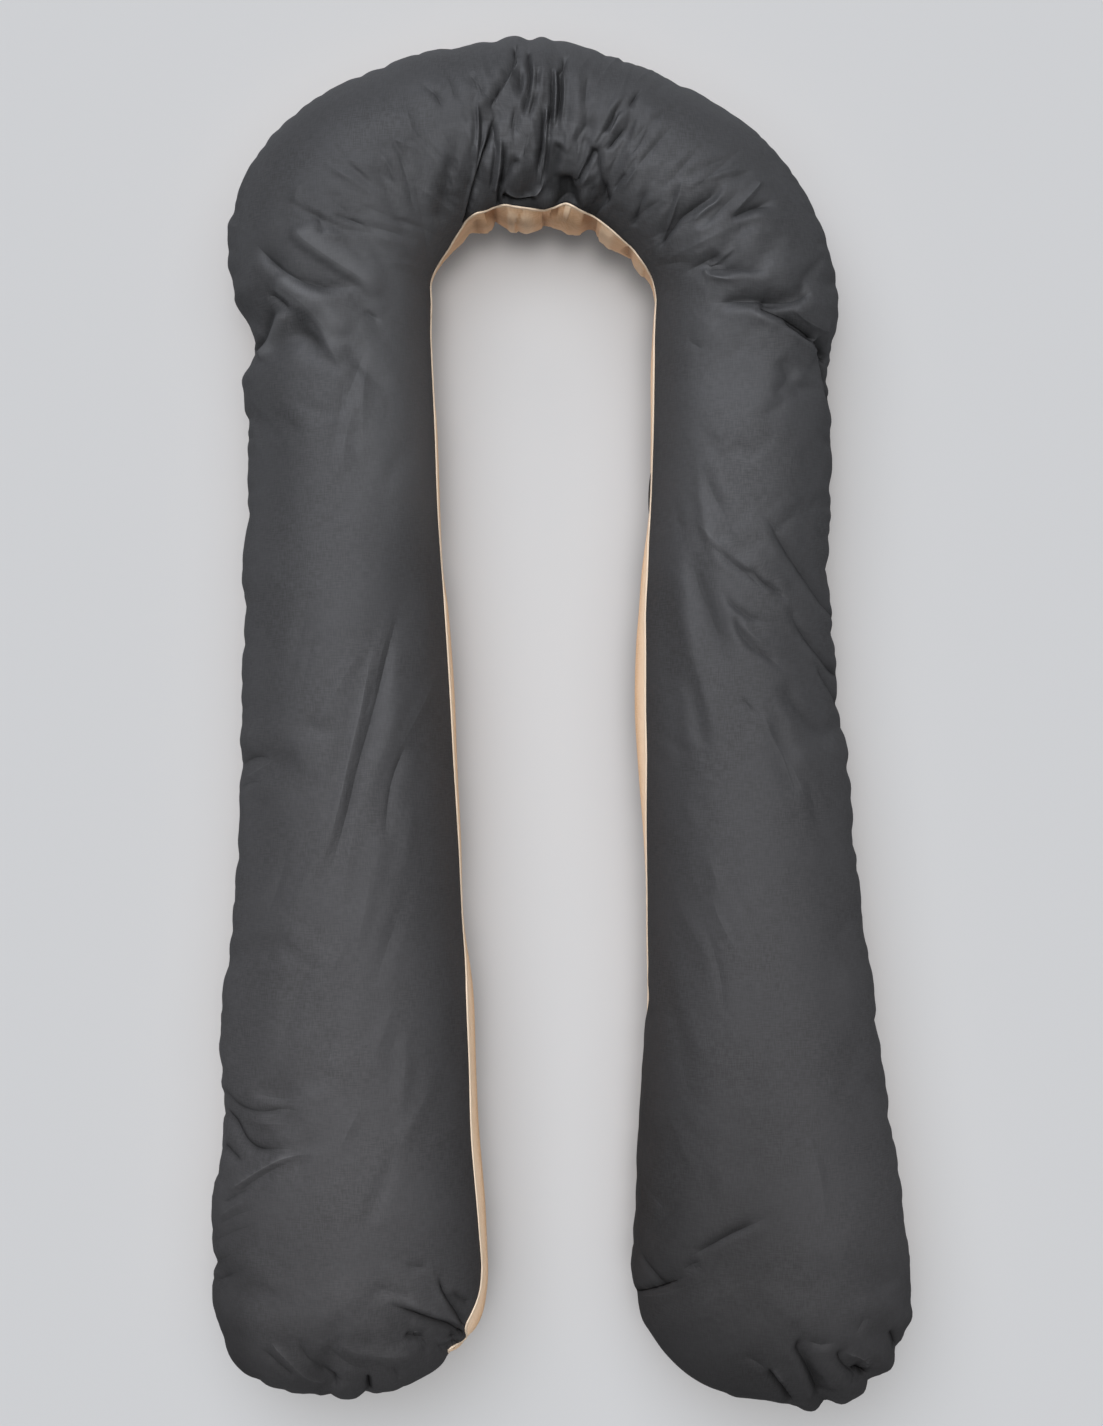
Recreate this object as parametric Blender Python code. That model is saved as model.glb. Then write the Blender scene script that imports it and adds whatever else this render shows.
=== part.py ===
"""A U-shaped body pillow, lying on its tan back panel with its charcoal face panel up.

The pillow is a filled bag: two U-shaped panels sewn together all the way round. Each
panel is one solid, with its half of the filling, and the two meet on a surface that runs
in from the seam. The cover is gathered round the middle of the bend, pinched where the
bend meets each leg, and slack along the legs, which is where the main folds lie.

Metres, +Z up. The origin is on the surface that the pillow lies on, under the middle of
its outline. The bend is at +Y, and the two legs run towards -Y.
"""

import math
from collections import namedtuple

import bmesh
import bpy

# ---------------------------------------------------------------- driving dimensions

BEND_CENTRE = (-0.019, 0.423)  # what the bend's angles and radii are measured from
LEFT_TIP_CENTRE = (-0.212, -0.537)  # where the left leg's round end starts
RIGHT_TIP_CENTRE = (0.210, -0.542)

EQUATOR_SHARE = 0.46  # height of the widest line, as a share of the crown's height
CONTACT_INSET = 0.40  # how far in the underside meets the floor, towards the spine
SIDE_FULLNESS = 0.86  # under 1, a section is squarer than an ellipse
PARTING_HEIGHT = 0.082  # where the two halves of the filling meet, under the crown
OUTER_SEAM = -16.0  # seam on the outer side, in degrees above the widest line
SEAM_DIP = 0.0035  # how far the stitching draws the cover in
SEAM_DIP_REACH = 11.0  # and over how many degrees of the section it fades
SEAM_GAP = 0.0003  # left between the two solids

# A leg's section at a few places along it: where its outer and inner sides stand, how
# high the crown is, and how far above the widest line the inner seam lies, in degrees.
Leg = namedtuple("Leg", "y outer inner crown seam")
LEFT_LEG = (
    Leg(-0.537, -0.348, -0.076, 0.172, 18),
    Leg(-0.477, -0.350, -0.080, 0.176, 19),
    Leg(-0.407, -0.340, -0.085, 0.174, 20),
    Leg(-0.345, -0.344, -0.087, 0.171, 21),
    Leg(-0.267, -0.341, -0.090, 0.168, 21),
    Leg(-0.200, -0.332, -0.099, 0.166, 12),
    Leg(-0.120, -0.326, -0.103, 0.164, 12),
    Leg(-0.040, -0.323, -0.107, 0.163, 13),
    Leg(0.033, -0.322, -0.110, 0.162, 17),
    Leg(0.113, -0.319, -0.116, 0.161, 17),
    Leg(0.153, -0.321, -0.120, 0.160, 15),
    Leg(0.213, -0.316, -0.123, 0.159, 16),
    Leg(0.293, -0.315, -0.126, 0.159, 18),
    Leg(0.343, -0.319, -0.131, 0.158, 13),
    Leg(0.373, -0.310, -0.132, 0.157, 11),
    Leg(0.393, -0.312, -0.132, 0.159, 10),
    Leg(0.423, -0.327, -0.131, 0.164, 10),
)
RIGHT_LEG = (
    Leg(-0.542, 0.349, 0.070, 0.174, -12),
    Leg(-0.482, 0.343, 0.072, 0.178, -10),
    Leg(-0.407, 0.332, 0.077, 0.175, -9),
    Leg(-0.345, 0.323, 0.081, 0.172, -6),
    Leg(-0.267, 0.314, 0.087, 0.168, 0),
    Leg(-0.200, 0.304, 0.088, 0.166, 6),
    Leg(-0.120, 0.295, 0.084, 0.165, 13),
    Leg(-0.040, 0.289, 0.078, 0.163, 24),
    Leg(0.013, 0.279, 0.075, 0.162, 27),
    Leg(0.073, 0.274, 0.076, 0.161, 26),
    Leg(0.113, 0.273, 0.078, 0.160, 23),
    Leg(0.153, 0.267, 0.081, 0.159, 20),
    Leg(0.213, 0.270, 0.088, 0.158, 14),
    Leg(0.293, 0.271, 0.091, 0.158, 15),
    Leg(0.353, 0.268, 0.092, 0.156, 14),
    Leg(0.393, 0.274, 0.095, 0.160, 12),
    Leg(0.423, 0.275, 0.095, 0.163, 12),
)

# The bend's section, by angle round the bend's centre from the left leg to the right.
Bend = namedtuple("Bend", "angle outer inner crown seam")
BEND = (
    Bend(180, 0.308, 0.112, 0.164, 10),
    Bend(170, 0.320, 0.112, 0.168, 11),
    Bend(160, 0.322, 0.112, 0.170, 15),
    Bend(150, 0.317, 0.107, 0.170, 20),
    Bend(140, 0.303, 0.101, 0.169, 27),
    Bend(130, 0.287, 0.098, 0.167, 28),
    Bend(120, 0.276, 0.096, 0.165, 27),
    Bend(109, 0.265, 0.083, 0.163, 32),
    Bend(100, 0.261, 0.073, 0.161, 33),
    Bend(90, 0.259, 0.078, 0.160, 27),
    Bend(75, 0.250, 0.072, 0.162, 36),
    Bend(60, 0.251, 0.084, 0.164, 30),
    Bend(48, 0.258, 0.086, 0.166, 26),
    Bend(35, 0.271, 0.091, 0.168, 22),
    Bend(22, 0.281, 0.099, 0.168, 19),
    Bend(10, 0.289, 0.109, 0.166, 12),
    Bend(0, 0.294, 0.114, 0.163, 12),
)

# A leg's round end: how far it reaches from the tip's centre, and where its seam lies.
# 180 points to -X, 270 to -Y and 360 to +X.
Tip = namedtuple("Tip", "angle reach seam")
LEFT_TIP = (
    Tip(180, 0.136, -16),
    Tip(194, 0.141, -16),
    Tip(208, 0.147, -16),
    Tip(222, 0.153, -16),
    Tip(236, 0.147, -16),
    Tip(250, 0.139, -16),
    Tip(264, 0.135, -16),
    Tip(285, 0.134, -14),
    Tip(299, 0.135, -10),
    Tip(309, 0.137, 2),
    Tip(320, 0.139, 17),
    Tip(334, 0.144, 26),
    Tip(346, 0.141, 22),
    Tip(360, 0.136, 18),
)
RIGHT_TIP = (
    Tip(180, 0.140, -12),
    Tip(194, 0.139, -14),
    Tip(208, 0.138, -16),
    Tip(229, 0.137, -16),
    Tip(250, 0.134, -16),
    Tip(264, 0.133, -16),
    Tip(276, 0.137, -16),
    Tip(285, 0.147, -16),
    Tip(292, 0.145, -16),
    Tip(301, 0.154, -16),
    Tip(312, 0.152, -16),
    Tip(320, 0.155, -16),
    Tip(328, 0.149, -16),
    Tip(336, 0.150, -16),
    Tip(346, 0.143, -16),
    Tip(360, 0.139, -16),
)

# The cover's main folds, seen from above: a trough from a start through a middle to an
# end, its half width, and its depth at the start, the middle and the end.
Fold = namedtuple("Fold", "x0 y0 x1 y1 x2 y2 width d0 d1 d2")
FOLDS = (
    # the pinch and the pocket where the bend meets the left leg, and the folds above it
    Fold(-0.310, 0.376, -0.294, 0.404, -0.270, 0.420, 0.015, 0.004, 0.015, 0.006),
    Fold(-0.272, 0.421, -0.250, 0.390, -0.232, 0.346, 0.012, 0.009, 0.010, 0.000),
    Fold(-0.290, 0.452, -0.238, 0.430, -0.182, 0.422, 0.014, 0.003, 0.009, 0.002),
    Fold(-0.215, 0.384, -0.190, 0.340, -0.172, 0.312, 0.012, 0.000, 0.004, 0.000),
    # the pinch and the pocket where it meets the right leg
    Fold(0.270, 0.364, 0.248, 0.384, 0.198, 0.408, 0.014, 0.004, 0.014, 0.002),
    Fold(0.254, 0.432, 0.210, 0.418, 0.150, 0.410, 0.012, 0.002, 0.008, 0.000),
    Fold(0.262, 0.330, 0.256, 0.352, 0.244, 0.374, 0.011, 0.000, 0.005, 0.002),
    # the right side of the bend
    Fold(0.106, 0.476, 0.130, 0.498, 0.158, 0.519, 0.011, 0.001, 0.008, 0.000),
    Fold(0.168, 0.489, 0.190, 0.502, 0.213, 0.508, 0.010, 0.000, 0.005, 0.000),
    Fold(0.136, 0.442, 0.156, 0.454, 0.172, 0.466, 0.010, 0.001, 0.007, 0.000),
    Fold(0.145, 0.444, 0.168, 0.446, 0.196, 0.443, 0.010, 0.002, 0.006, 0.000),
    # the gathers round the middle of the bend, from left to right
    Fold(-0.094, 0.503, -0.080, 0.546, -0.060, 0.596, 0.009, 0.007, 0.012, 0.004),
    Fold(-0.060, 0.596, -0.045, 0.628, -0.038, 0.660, 0.010, 0.004, 0.006, 0.003),
    Fold(-0.066, 0.518, -0.059, 0.545, -0.062, 0.570, 0.008, 0.006, 0.008, 0.002),
    Fold(-0.046, 0.562, -0.036, 0.606, -0.034, 0.662, 0.009, 0.000, 0.006, 0.002),
    Fold(-0.046, 0.520, -0.030, 0.522, -0.019, 0.548, 0.009, 0.005, 0.009, 0.006),
    Fold(-0.019, 0.548, -0.016, 0.580, -0.013, 0.612, 0.008, 0.006, 0.009, 0.001),
    Fold(-0.004, 0.566, -0.002, 0.604, -0.004, 0.652, 0.008, 0.002, 0.009, 0.001),
    Fold(0.002, 0.510, 0.004, 0.535, 0.004, 0.556, 0.010, 0.010, 0.010, 0.002),
    Fold(0.014, 0.523, 0.024, 0.542, 0.033, 0.564, 0.010, 0.007, 0.008, 0.001),
    Fold(0.040, 0.496, 0.044, 0.530, 0.054, 0.574, 0.012, 0.005, 0.006, 0.001),
    Fold(0.046, 0.552, 0.058, 0.574, 0.070, 0.600, 0.010, 0.000, 0.005, 0.001),
    # the left side of the bend
    Fold(-0.125, 0.470, -0.138, 0.530, -0.140, 0.590, 0.016, 0.004, 0.005, 0.001),
    Fold(-0.126, 0.440, -0.150, 0.490, -0.170, 0.540, 0.015, 0.004, 0.004, 0.000),
    # the long drag folds down the left leg
    Fold(-0.165, 0.108, -0.196, 0.000, -0.230, -0.140, 0.017, 0.002, 0.008, 0.001),
    Fold(-0.163, -0.030, -0.176, -0.100, -0.188, -0.180, 0.015, 0.001, 0.005, 0.000),
    Fold(-0.322, -0.046, -0.290, -0.040, -0.262, -0.052, 0.013, 0.002, 0.004, 0.000),
    # the end of the left leg
    Fold(-0.342, -0.360, -0.326, -0.390, -0.316, -0.430, 0.015, 0.001, 0.006, 0.000),
    Fold(-0.344, -0.552, -0.308, -0.554, -0.262, -0.570, 0.015, 0.002, 0.006, 0.000),
    Fold(-0.110, -0.616, -0.142, -0.596, -0.190, -0.575, 0.014, 0.006, 0.012, 0.000),
    Fold(-0.232, -0.668, -0.232, -0.642, -0.225, -0.606, 0.013, 0.002, 0.005, 0.000),
    Fold(-0.192, -0.668, -0.190, -0.642, -0.194, -0.610, 0.013, 0.002, 0.005, 0.000),
    # the drag folds down the right leg
    Fold(0.136, 0.174, 0.168, 0.130, 0.196, 0.080, 0.016, 0.001, 0.006, 0.001),
    Fold(0.206, 0.190, 0.240, 0.140, 0.266, 0.096, 0.016, 0.000, 0.006, 0.002),
    Fold(0.172, 0.140, 0.224, 0.070, 0.274, 0.004, 0.017, 0.001, 0.007, 0.002),
    # the end of the right leg
    Fold(0.074, -0.568, 0.120, -0.546, 0.196, -0.494, 0.015, 0.004, 0.008, 0.000),
    Fold(0.080, -0.520, 0.100, -0.548, 0.128, -0.556, 0.012, 0.001, 0.004, 0.000),
    Fold(0.262, -0.672, 0.252, -0.648, 0.240, -0.616, 0.012, 0.001, 0.007, 0.000),
    Fold(0.306, -0.648, 0.290, -0.628, 0.270, -0.600, 0.012, 0.002, 0.009, 0.000),
    Fold(0.336, -0.614, 0.316, -0.598, 0.290, -0.580, 0.012, 0.002, 0.007, 0.000),
)
RIDGE_SHARE = 0.38  # the roll of cloth each side of a trough, as a share of its depth
FOLD_FADE = (0.012, 0.045)  # folds fade out on the underside, between these heights

# Steps from one section to the next, finer where the cover is gathered.
TIP_STEPS = 36
FACE_ROWS = (0.0, 0.05, 0.12, 0.22, 0.34, 0.47, 0.60, 0.74, 0.87, 1.0)  # seam to crown
WALL_ROWS = (0.0, 0.12, 0.34, 0.66, 1.0)  # seam down to the floor

CHARCOAL = (0.085, 0.088, 0.093, 1.0)
TAN = (0.62, 0.44, 0.29, 1.0)
COTTON_ROUGHNESS = 0.6

# ---------------------------------------------------------------- the form

# One line of the cover, from the crown over the spine down and round to the floor.
# spine is the number of the spine point that it starts from.
Column = namedtuple("Column", "spine centre edge crown seam")


def eased(rows, at, column):
    """A column of a table at a place between its rows, on a smooth curve through them."""
    places = [row[0] for row in rows]
    values = [getattr(row, column) for row in rows]
    if places[0] > places[-1]:
        places.reverse()
        values.reverse()
    last = len(places) - 1
    index = max(k for k in range(last) if places[k] <= at or k == 0)

    def slope(k):
        low, high = max(k - 1, 0), min(k + 1, last)
        return (values[high] - values[low]) / (places[high] - places[low])

    span = places[index + 1] - places[index]
    t = (at - places[index]) / span
    start, end = values[index], values[index + 1]
    rise, fall = slope(index) * span, slope(index + 1) * span
    return (
        start * (1 + 2 * t) * (1 - t) ** 2
        + end * t * t * (3 - 2 * t)
        + rise * t * (1 - t) ** 2
        - fall * t * t * (1 - t)
    )


def spread(start, end, steps):
    """Places from start towards end, without the end itself."""
    return [start + (end - start) * k / steps for k in range(steps)]


def on_ray(centre, angle, radius):
    turn = math.radians(angle)
    return (centre[0] + radius * math.cos(turn), centre[1] + radius * math.sin(turn))


def leg_section(rows, y):
    outer, inner = eased(rows, y, "outer"), eased(rows, y, "inner")
    return (outer, y), (inner, y), eased(rows, y, "crown"), eased(rows, y, "seam")


def bend_section(angle):
    outer = on_ray(BEND_CENTRE, angle, eased(BEND, angle, "outer"))
    inner = on_ray(BEND_CENTRE, angle, eased(BEND, angle, "inner"))
    return outer, inner, eased(BEND, angle, "crown"), eased(BEND, angle, "seam")


def sections():
    """(outer edge, inner edge, crown, inner seam) from the left leg's end to the right's."""
    up_left = spread(LEFT_TIP_CENTRE[1], 0.25, 36) + spread(0.25, BEND_CENTRE[1], 14)
    round_bend = spread(180, 120, 12) + spread(120, 60, 26) + spread(60, 0, 12)
    down_right = spread(BEND_CENTRE[1], 0.25, 14) + spread(0.25, RIGHT_TIP_CENTRE[1], 36)
    found = [leg_section(LEFT_LEG, y) for y in up_left]
    found += [bend_section(angle) for angle in round_bend]
    found += [leg_section(RIGHT_LEG, y) for y in down_right + [RIGHT_TIP_CENTRE[1]]]
    return found


def tip_columns(rows, centre, spine, crown):
    """The columns that fan round a leg's end, from its +X side to its -X side."""
    found = []
    for angle in spread(360, 180, TIP_STEPS)[1:]:
        edge = on_ray(centre, angle, eased(rows, angle, "reach"))
        found.append(Column(spine, centre, edge, crown, eased(rows, angle, "seam")))
    return found


def columns():
    """Every column, in order round the outline: up the left leg's outer side, over the
    bend, down to the right leg's end, and back along the inner side."""
    outer_side, inner_side = [], []
    for number, (outer, inner, crown, seam) in enumerate(sections()):
        centre = ((outer[0] + inner[0]) / 2, (outer[1] + inner[1]) / 2)
        outer_side.append(Column(number, centre, outer, crown, OUTER_SEAM))
        inner_side.append(Column(number, centre, inner, crown, seam))
    first, last = outer_side[0], outer_side[-1]
    right_tip = tip_columns(RIGHT_TIP, last.centre, last.spine, last.crown)
    left_tip = tip_columns(LEFT_TIP, first.centre, first.spine, first.crown)
    return outer_side + right_tip + inner_side[::-1] + left_tip


def along(fold, t):
    """The point at t, from 0 to 1, on a fold's line, which passes through its middle."""
    start, end, middle = (1 - t) * (1 - 2 * t), t * (2 * t - 1), 4 * t * (1 - t)
    x = start * fold.x0 + middle * fold.x1 + end * fold.x2
    y = start * fold.y0 + middle * fold.y1 + end * fold.y2
    return x, y, max(start * fold.d0 + middle * fold.d1 + end * fold.d2, 0.0)


def dip_of(fold, x, y):
    """How far one fold draws the cover in at a place seen from above."""
    steps = 16
    nearest, depth, at = 1.0, 0.0, 0.0
    for k in range(steps + 1):
        fold_x, fold_y, fold_depth = along(fold, k / steps)
        gap = math.hypot(x - fold_x, y - fold_y)
        if gap < nearest:
            nearest, depth, at = gap, fold_depth, k / steps
    if nearest > 4 * fold.width:
        return 0.0
    across = nearest / fold.width
    trough = math.exp(-(across**2))
    roll = RIDGE_SHARE * math.exp(-(((across - 2.0) / 0.8) ** 2))
    return depth * (trough - roll)


def smooth_step(value, low, high):
    t = min(max((value - low) / (high - low), 0.0), 1.0)
    return t * t * (3 - 2 * t)


def cover_point(column, angle):
    """A point of the cover: angle runs from 90 at the crown, through 0 at the widest
    line, to -90 where the underside meets the floor."""
    (cx, cy), (ex, ey) = column.centre, column.edge
    equator = EQUATOR_SHARE * column.crown
    turn = math.radians(abs(angle))
    if angle >= 0:
        out = math.cos(turn) ** SIDE_FULLNESS if angle < 90 else 0.0
        z = equator + (column.crown - equator) * math.sin(turn) ** SIDE_FULLNESS
    else:
        out = 1 - CONTACT_INSET * (1 - math.cos(turn))
        z = equator * (1 - math.sin(turn))
    x, y = cx + (ex - cx) * out, cy + (ey - cy) * out

    dip = SEAM_DIP * math.exp(-(((angle - column.seam) / SEAM_DIP_REACH) ** 2))
    dip += sum(dip_of(fold, x, y) for fold in FOLDS)
    dip *= smooth_step(z, *FOLD_FADE)
    away = (x - cx, y - cy, z - equator)
    length = math.hypot(*away)
    shrink = 1 - dip / length
    return (cx + away[0] * shrink, cy + away[1] * shrink, equator + away[2] * shrink)


# ---------------------------------------------------------------- the two panels


def strip_faces(spine_side, edge_side):
    """Triangles between two closed rows of points, where neighbours may be the same
    point. The same rows give the same diagonals, so two panels' strips lie parallel."""
    found = []
    for k in range(len(spine_side)):
        n = (k + 1) % len(spine_side)
        found.append((spine_side[k], spine_side[n], edge_side[n]))
        found.append((spine_side[k], edge_side[n], edge_side[k]))
    return [face for face in found if len(set(face)) == 3]


def panel(name, material, strips, collection, parent):
    """One panel's solid, closed by strips between rows of points round the outline."""
    numbers, faces = {}, []
    for spine_side, edge_side in strips:
        for face in strip_faces(spine_side, edge_side):
            faces.append([numbers.setdefault(point, len(numbers)) for point in face])

    mesh = bpy.data.meshes.new(name)
    mesh.from_pydata(list(numbers), [], faces)
    work = bmesh.new()
    work.from_mesh(mesh)
    bmesh.ops.recalc_face_normals(work, faces=work.faces)
    work.to_mesh(mesh)
    work.free()
    mesh.materials.append(material)
    mesh.shade_smooth()

    solid = bpy.data.objects.new(name, mesh)
    solid.parent = parent
    collection.objects.link(solid)
    return solid


def raised(point, by):
    return (point[0], point[1], point[2] + by)


def face_panel(lines, material, collection, parent):
    """The charcoal panel: the cover from the crown down to the seam, and its filling."""
    rows = []
    for share in reversed(FACE_ROWS):
        rows.append([cover_point(c, c.seam + (90 - c.seam) * share) for c in lines])
    rows[-1] = [raised(point, SEAM_GAP / 2) for point in rows[-1]]
    parting = [(*c.centre, PARTING_HEIGHT + SEAM_GAP / 2) for c in lines]
    strips = list(zip(rows, rows[1:])) + [(parting, rows[-1])]
    return panel("face_panel", material, strips, collection, parent)


def back_panel(lines, material, collection, parent):
    """The tan panel: from the seam round under the pillow, and its filling."""
    rows = []
    for share in WALL_ROWS:
        rows.append([cover_point(c, c.seam - (90 + c.seam) * share) for c in lines])
    rows[0] = [raised(point, -SEAM_GAP / 2) for point in rows[0]]
    parting = [(*c.centre, PARTING_HEIGHT - SEAM_GAP / 2) for c in lines]
    floor = [(*c.centre, 0.0) for c in lines]
    strips = [(parting, rows[0])] + list(zip(rows, rows[1:])) + [(floor, rows[-1])]
    return panel("back_panel", material, strips, collection, parent)


def cotton(name, colour):
    material = bpy.data.materials.new(name)
    material.use_nodes = True
    shader = material.node_tree.nodes["Principled BSDF"]
    shader.inputs["Base Color"].default_value = colour
    shader.inputs["Roughness"].default_value = COTTON_ROUGHNESS
    shader.inputs["Metallic"].default_value = 0.0
    return material


def main():
    for old in list(bpy.data.objects):
        bpy.data.objects.remove(old, do_unlink=True)
    collection = bpy.data.collections.new("body_pillow")
    bpy.context.scene.collection.children.link(collection)
    whole = bpy.data.objects.new("body_pillow", None)
    collection.objects.link(whole)

    lines = columns()
    face_panel(lines, cotton("charcoal_cotton", CHARCOAL), collection, whole)
    back_panel(lines, cotton("tan_cotton", TAN), collection, whole)


main()
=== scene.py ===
"""A U-shaped body pillow lying on a pale floor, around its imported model.

The cover is a charcoal face panel and a tan back panel, sewn together all the way
round and filled. Metres, +Z up: the bend is at +Y and the two legs run towards -Y.
"""

import math
from collections import namedtuple

import bpy
import numpy as np
from mathutils.kdtree import KDTree
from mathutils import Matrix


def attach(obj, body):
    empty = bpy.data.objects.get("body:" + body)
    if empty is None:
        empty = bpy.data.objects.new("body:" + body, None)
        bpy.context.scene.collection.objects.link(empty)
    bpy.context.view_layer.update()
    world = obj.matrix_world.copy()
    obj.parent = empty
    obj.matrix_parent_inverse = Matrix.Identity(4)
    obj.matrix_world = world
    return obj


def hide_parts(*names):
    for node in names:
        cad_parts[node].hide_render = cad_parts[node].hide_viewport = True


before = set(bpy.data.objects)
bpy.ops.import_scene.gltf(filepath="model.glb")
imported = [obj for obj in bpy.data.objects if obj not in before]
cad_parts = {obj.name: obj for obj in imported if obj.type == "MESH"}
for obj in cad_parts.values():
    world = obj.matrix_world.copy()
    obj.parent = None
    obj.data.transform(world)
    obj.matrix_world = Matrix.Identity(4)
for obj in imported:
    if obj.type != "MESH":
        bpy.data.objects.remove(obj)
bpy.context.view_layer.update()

# ---------------------------------------------------------------- the filled bag
# The two panels are cut to the same U, sewn together round the edge, turned and filled
# with loose fibre. The tables say where the bag's outline stands, how high the filling
# crowns, and how far above the widest line the seam has settled, in degrees.

BEND_CENTRE = (-0.019, 0.423)
LEFT_TIP_CENTRE = (-0.212, -0.537)
RIGHT_TIP_CENTRE = (0.2095, -0.542)
SHOULDER_Y = 0.22  # above this, the legs' sections lie closer together

EQUATOR_SHARE = 0.46  # height of the widest line, as a share of the crown's height
CONTACT_INSET = 0.40  # how far in the underside meets the floor, towards the spine
SIDE_FULLNESS = 0.86  # under 1, a section is squarer than an ellipse
OUTER_SEAM = -16.0  # degrees: the face panel is the wider one, so this seam lies low
SEAM_DIP = 0.0035  # how far the stitching draws the cover in at the outer seam
SEAM_DIP_REACH = 11.0  # and over how many degrees of the section it fades
INNER_EASE = 0.68  # the inner seam draws it in this much less


def table(kind, *rows):
    """The rows of a table, each with its numbers by name."""
    return [kind(*row) for row in rows]


Leg = namedtuple("Leg", "y outer inner crown seam")
LEFT_LEG = table(
    Leg,
    (-0.537, -0.348, -0.0739, 0.172, 15.75), (-0.477, -0.35, -0.0768, 0.176, 18.5),
    (-0.407, -0.34, -0.0829, 0.174, 19), (-0.345, -0.344, -0.0859, 0.171, 17.5),
    (-0.267, -0.341, -0.089, 0.168, 17.75), (-0.2, -0.332, -0.0981, 0.166, 6.5),
    (-0.12, -0.326, -0.1011, 0.164, 9.75), (-0.04, -0.323, -0.1052, 0.163, 12.5),
    (0.033, -0.322, -0.1082, 0.162, 14.75), (0.113, -0.319, -0.1143, 0.161, 12.75),
    (0.153, -0.321, -0.1193, 0.16, 7), (0.213, -0.316, -0.1224, 0.159, 10),
    (0.293, -0.315, -0.1254, 0.159, 10), (0.343, -0.319, -0.129, 0.158, 5),
    (0.373, -0.31, -0.1305, 0.157, 4), (0.393, -0.312, -0.131, 0.159, 4),
    (0.423, -0.327, -0.13, 0.164, 5),
)
RIGHT_LEG = table(
    Leg,
    (-0.542, 0.349, 0.07, 0.174, -18), (-0.482, 0.343, 0.072, 0.178, -18),
    (-0.407, 0.332, 0.076, 0.175, -18), (-0.345, 0.323, 0.0795, 0.172, -17),
    (-0.267, 0.314, 0.0845, 0.168, -7), (-0.2, 0.304, 0.0851, 0.166, 1),
    (-0.12, 0.295, 0.0821, 0.165, 10), (-0.04, 0.289, 0.0761, 0.163, 22.25),
    (0.013, 0.279, 0.0731, 0.162, 25.5), (0.073, 0.274, 0.0741, 0.161, 24.5),
    (0.113, 0.273, 0.0772, 0.16, 19.75), (0.153, 0.267, 0.0802, 0.159, 18.25),
    (0.213, 0.27, 0.0873, 0.158, 7), (0.293, 0.271, 0.0893, 0.158, 10.5),
    (0.353, 0.268, 0.0893, 0.156, 13.5), (0.393, 0.274, 0.091, 0.16, 9),
    (0.423, 0.275, 0.093, 0.163, 6),
)

Bend = namedtuple("Bend", "angle outer inner crown seam")
BEND = table(
    Bend,
    (180, 0.308, 0.111, 0.164, 5), (170, 0.32, 0.1125, 0.168, 3.5), (160, 0.322, 0.1084, 0.17, 4),
    (152, 0.318, 0.1046, 0.17, 7.2), (146, 0.311, 0.103, 0.17, 11.2),
    (140, 0.303, 0.1022, 0.169, 14.2), (135, 0.295, 0.0998, 0.168, 19.5),
    (130, 0.287, 0.0923, 0.167, 28), (125, 0.281, 0.091, 0.166, 26),
    (119.5, 0.276, 0.0928, 0.165, 22), (113.5, 0.27, 0.0826, 0.164, 31.2),
    (109, 0.265, 0.0795, 0.163, 30.2), (104, 0.263, 0.076, 0.162, 30),
    (100, 0.261, 0.076, 0.161, 28), (95, 0.26, 0.0764, 0.161, 25.5),
    (89, 0.258, 0.0799, 0.16, 20.2), (85, 0.256, 0.0783, 0.161, 24.5),
    (82, 0.254, 0.0767, 0.161, 28), (78, 0.252, 0.0761, 0.162, 32.5),
    (75, 0.25, 0.0757, 0.162, 35.2), (71, 0.25, 0.0754, 0.163, 35.2),
    (67, 0.251, 0.0785, 0.163, 31.5), (63, 0.251, 0.0816, 0.164, 27.8),
    (59.5, 0.251, 0.0855, 0.164, 23.2), (55, 0.254, 0.0852, 0.165, 23.5),
    (50, 0.257, 0.0849, 0.166, 23.8), (44, 0.262, 0.0872, 0.167, 22),
    (38, 0.268, 0.0895, 0.168, 20.5), (33, 0.273, 0.0933, 0.168, 17.5),
    (28, 0.276, 0.097, 0.168, 15.8), (22, 0.281, 0.0989, 0.168, 16.5),
    (16, 0.285, 0.1039, 0.167, 13.2), (10, 0.289, 0.109, 0.166, 7.8), (0, 0.294, 0.112, 0.163, 6),
)

Tip = namedtuple("Tip", "angle reach seam")
LEFT_TIP = table(
    Tip,
    (180, 0.136, -16), (194, 0.141, -16), (208, 0.147, -16), (222, 0.153, -16), (236, 0.147, -16),
    (250, 0.139, -16), (264, 0.135, -16), (285, 0.134, -16), (299, 0.135, -14), (314, 0.1365, -10),
    (318, 0.139, 8), (321, 0.141, 26), (324, 0.142, 22), (327, 0.142, 6), (330, 0.1425, 17),
    (333, 0.142, 24), (339, 0.143, 25), (348, 0.1405, 19), (360, 0.138, 16),
)
RIGHT_TIP = table(
    Tip,
    (180, 0.1395, -18), (194, 0.139, -18), (208, 0.138, -16), (229, 0.137, -16), (250, 0.134, -16),
    (264, 0.133, -16), (276, 0.137, -16), (285, 0.147, -16), (292, 0.145, -16), (301, 0.154, -16),
    (312, 0.152, -16), (320, 0.155, -16), (328, 0.149, -16), (336, 0.15, -16), (346, 0.143, -16),
    (360, 0.139, -16),
)

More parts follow.
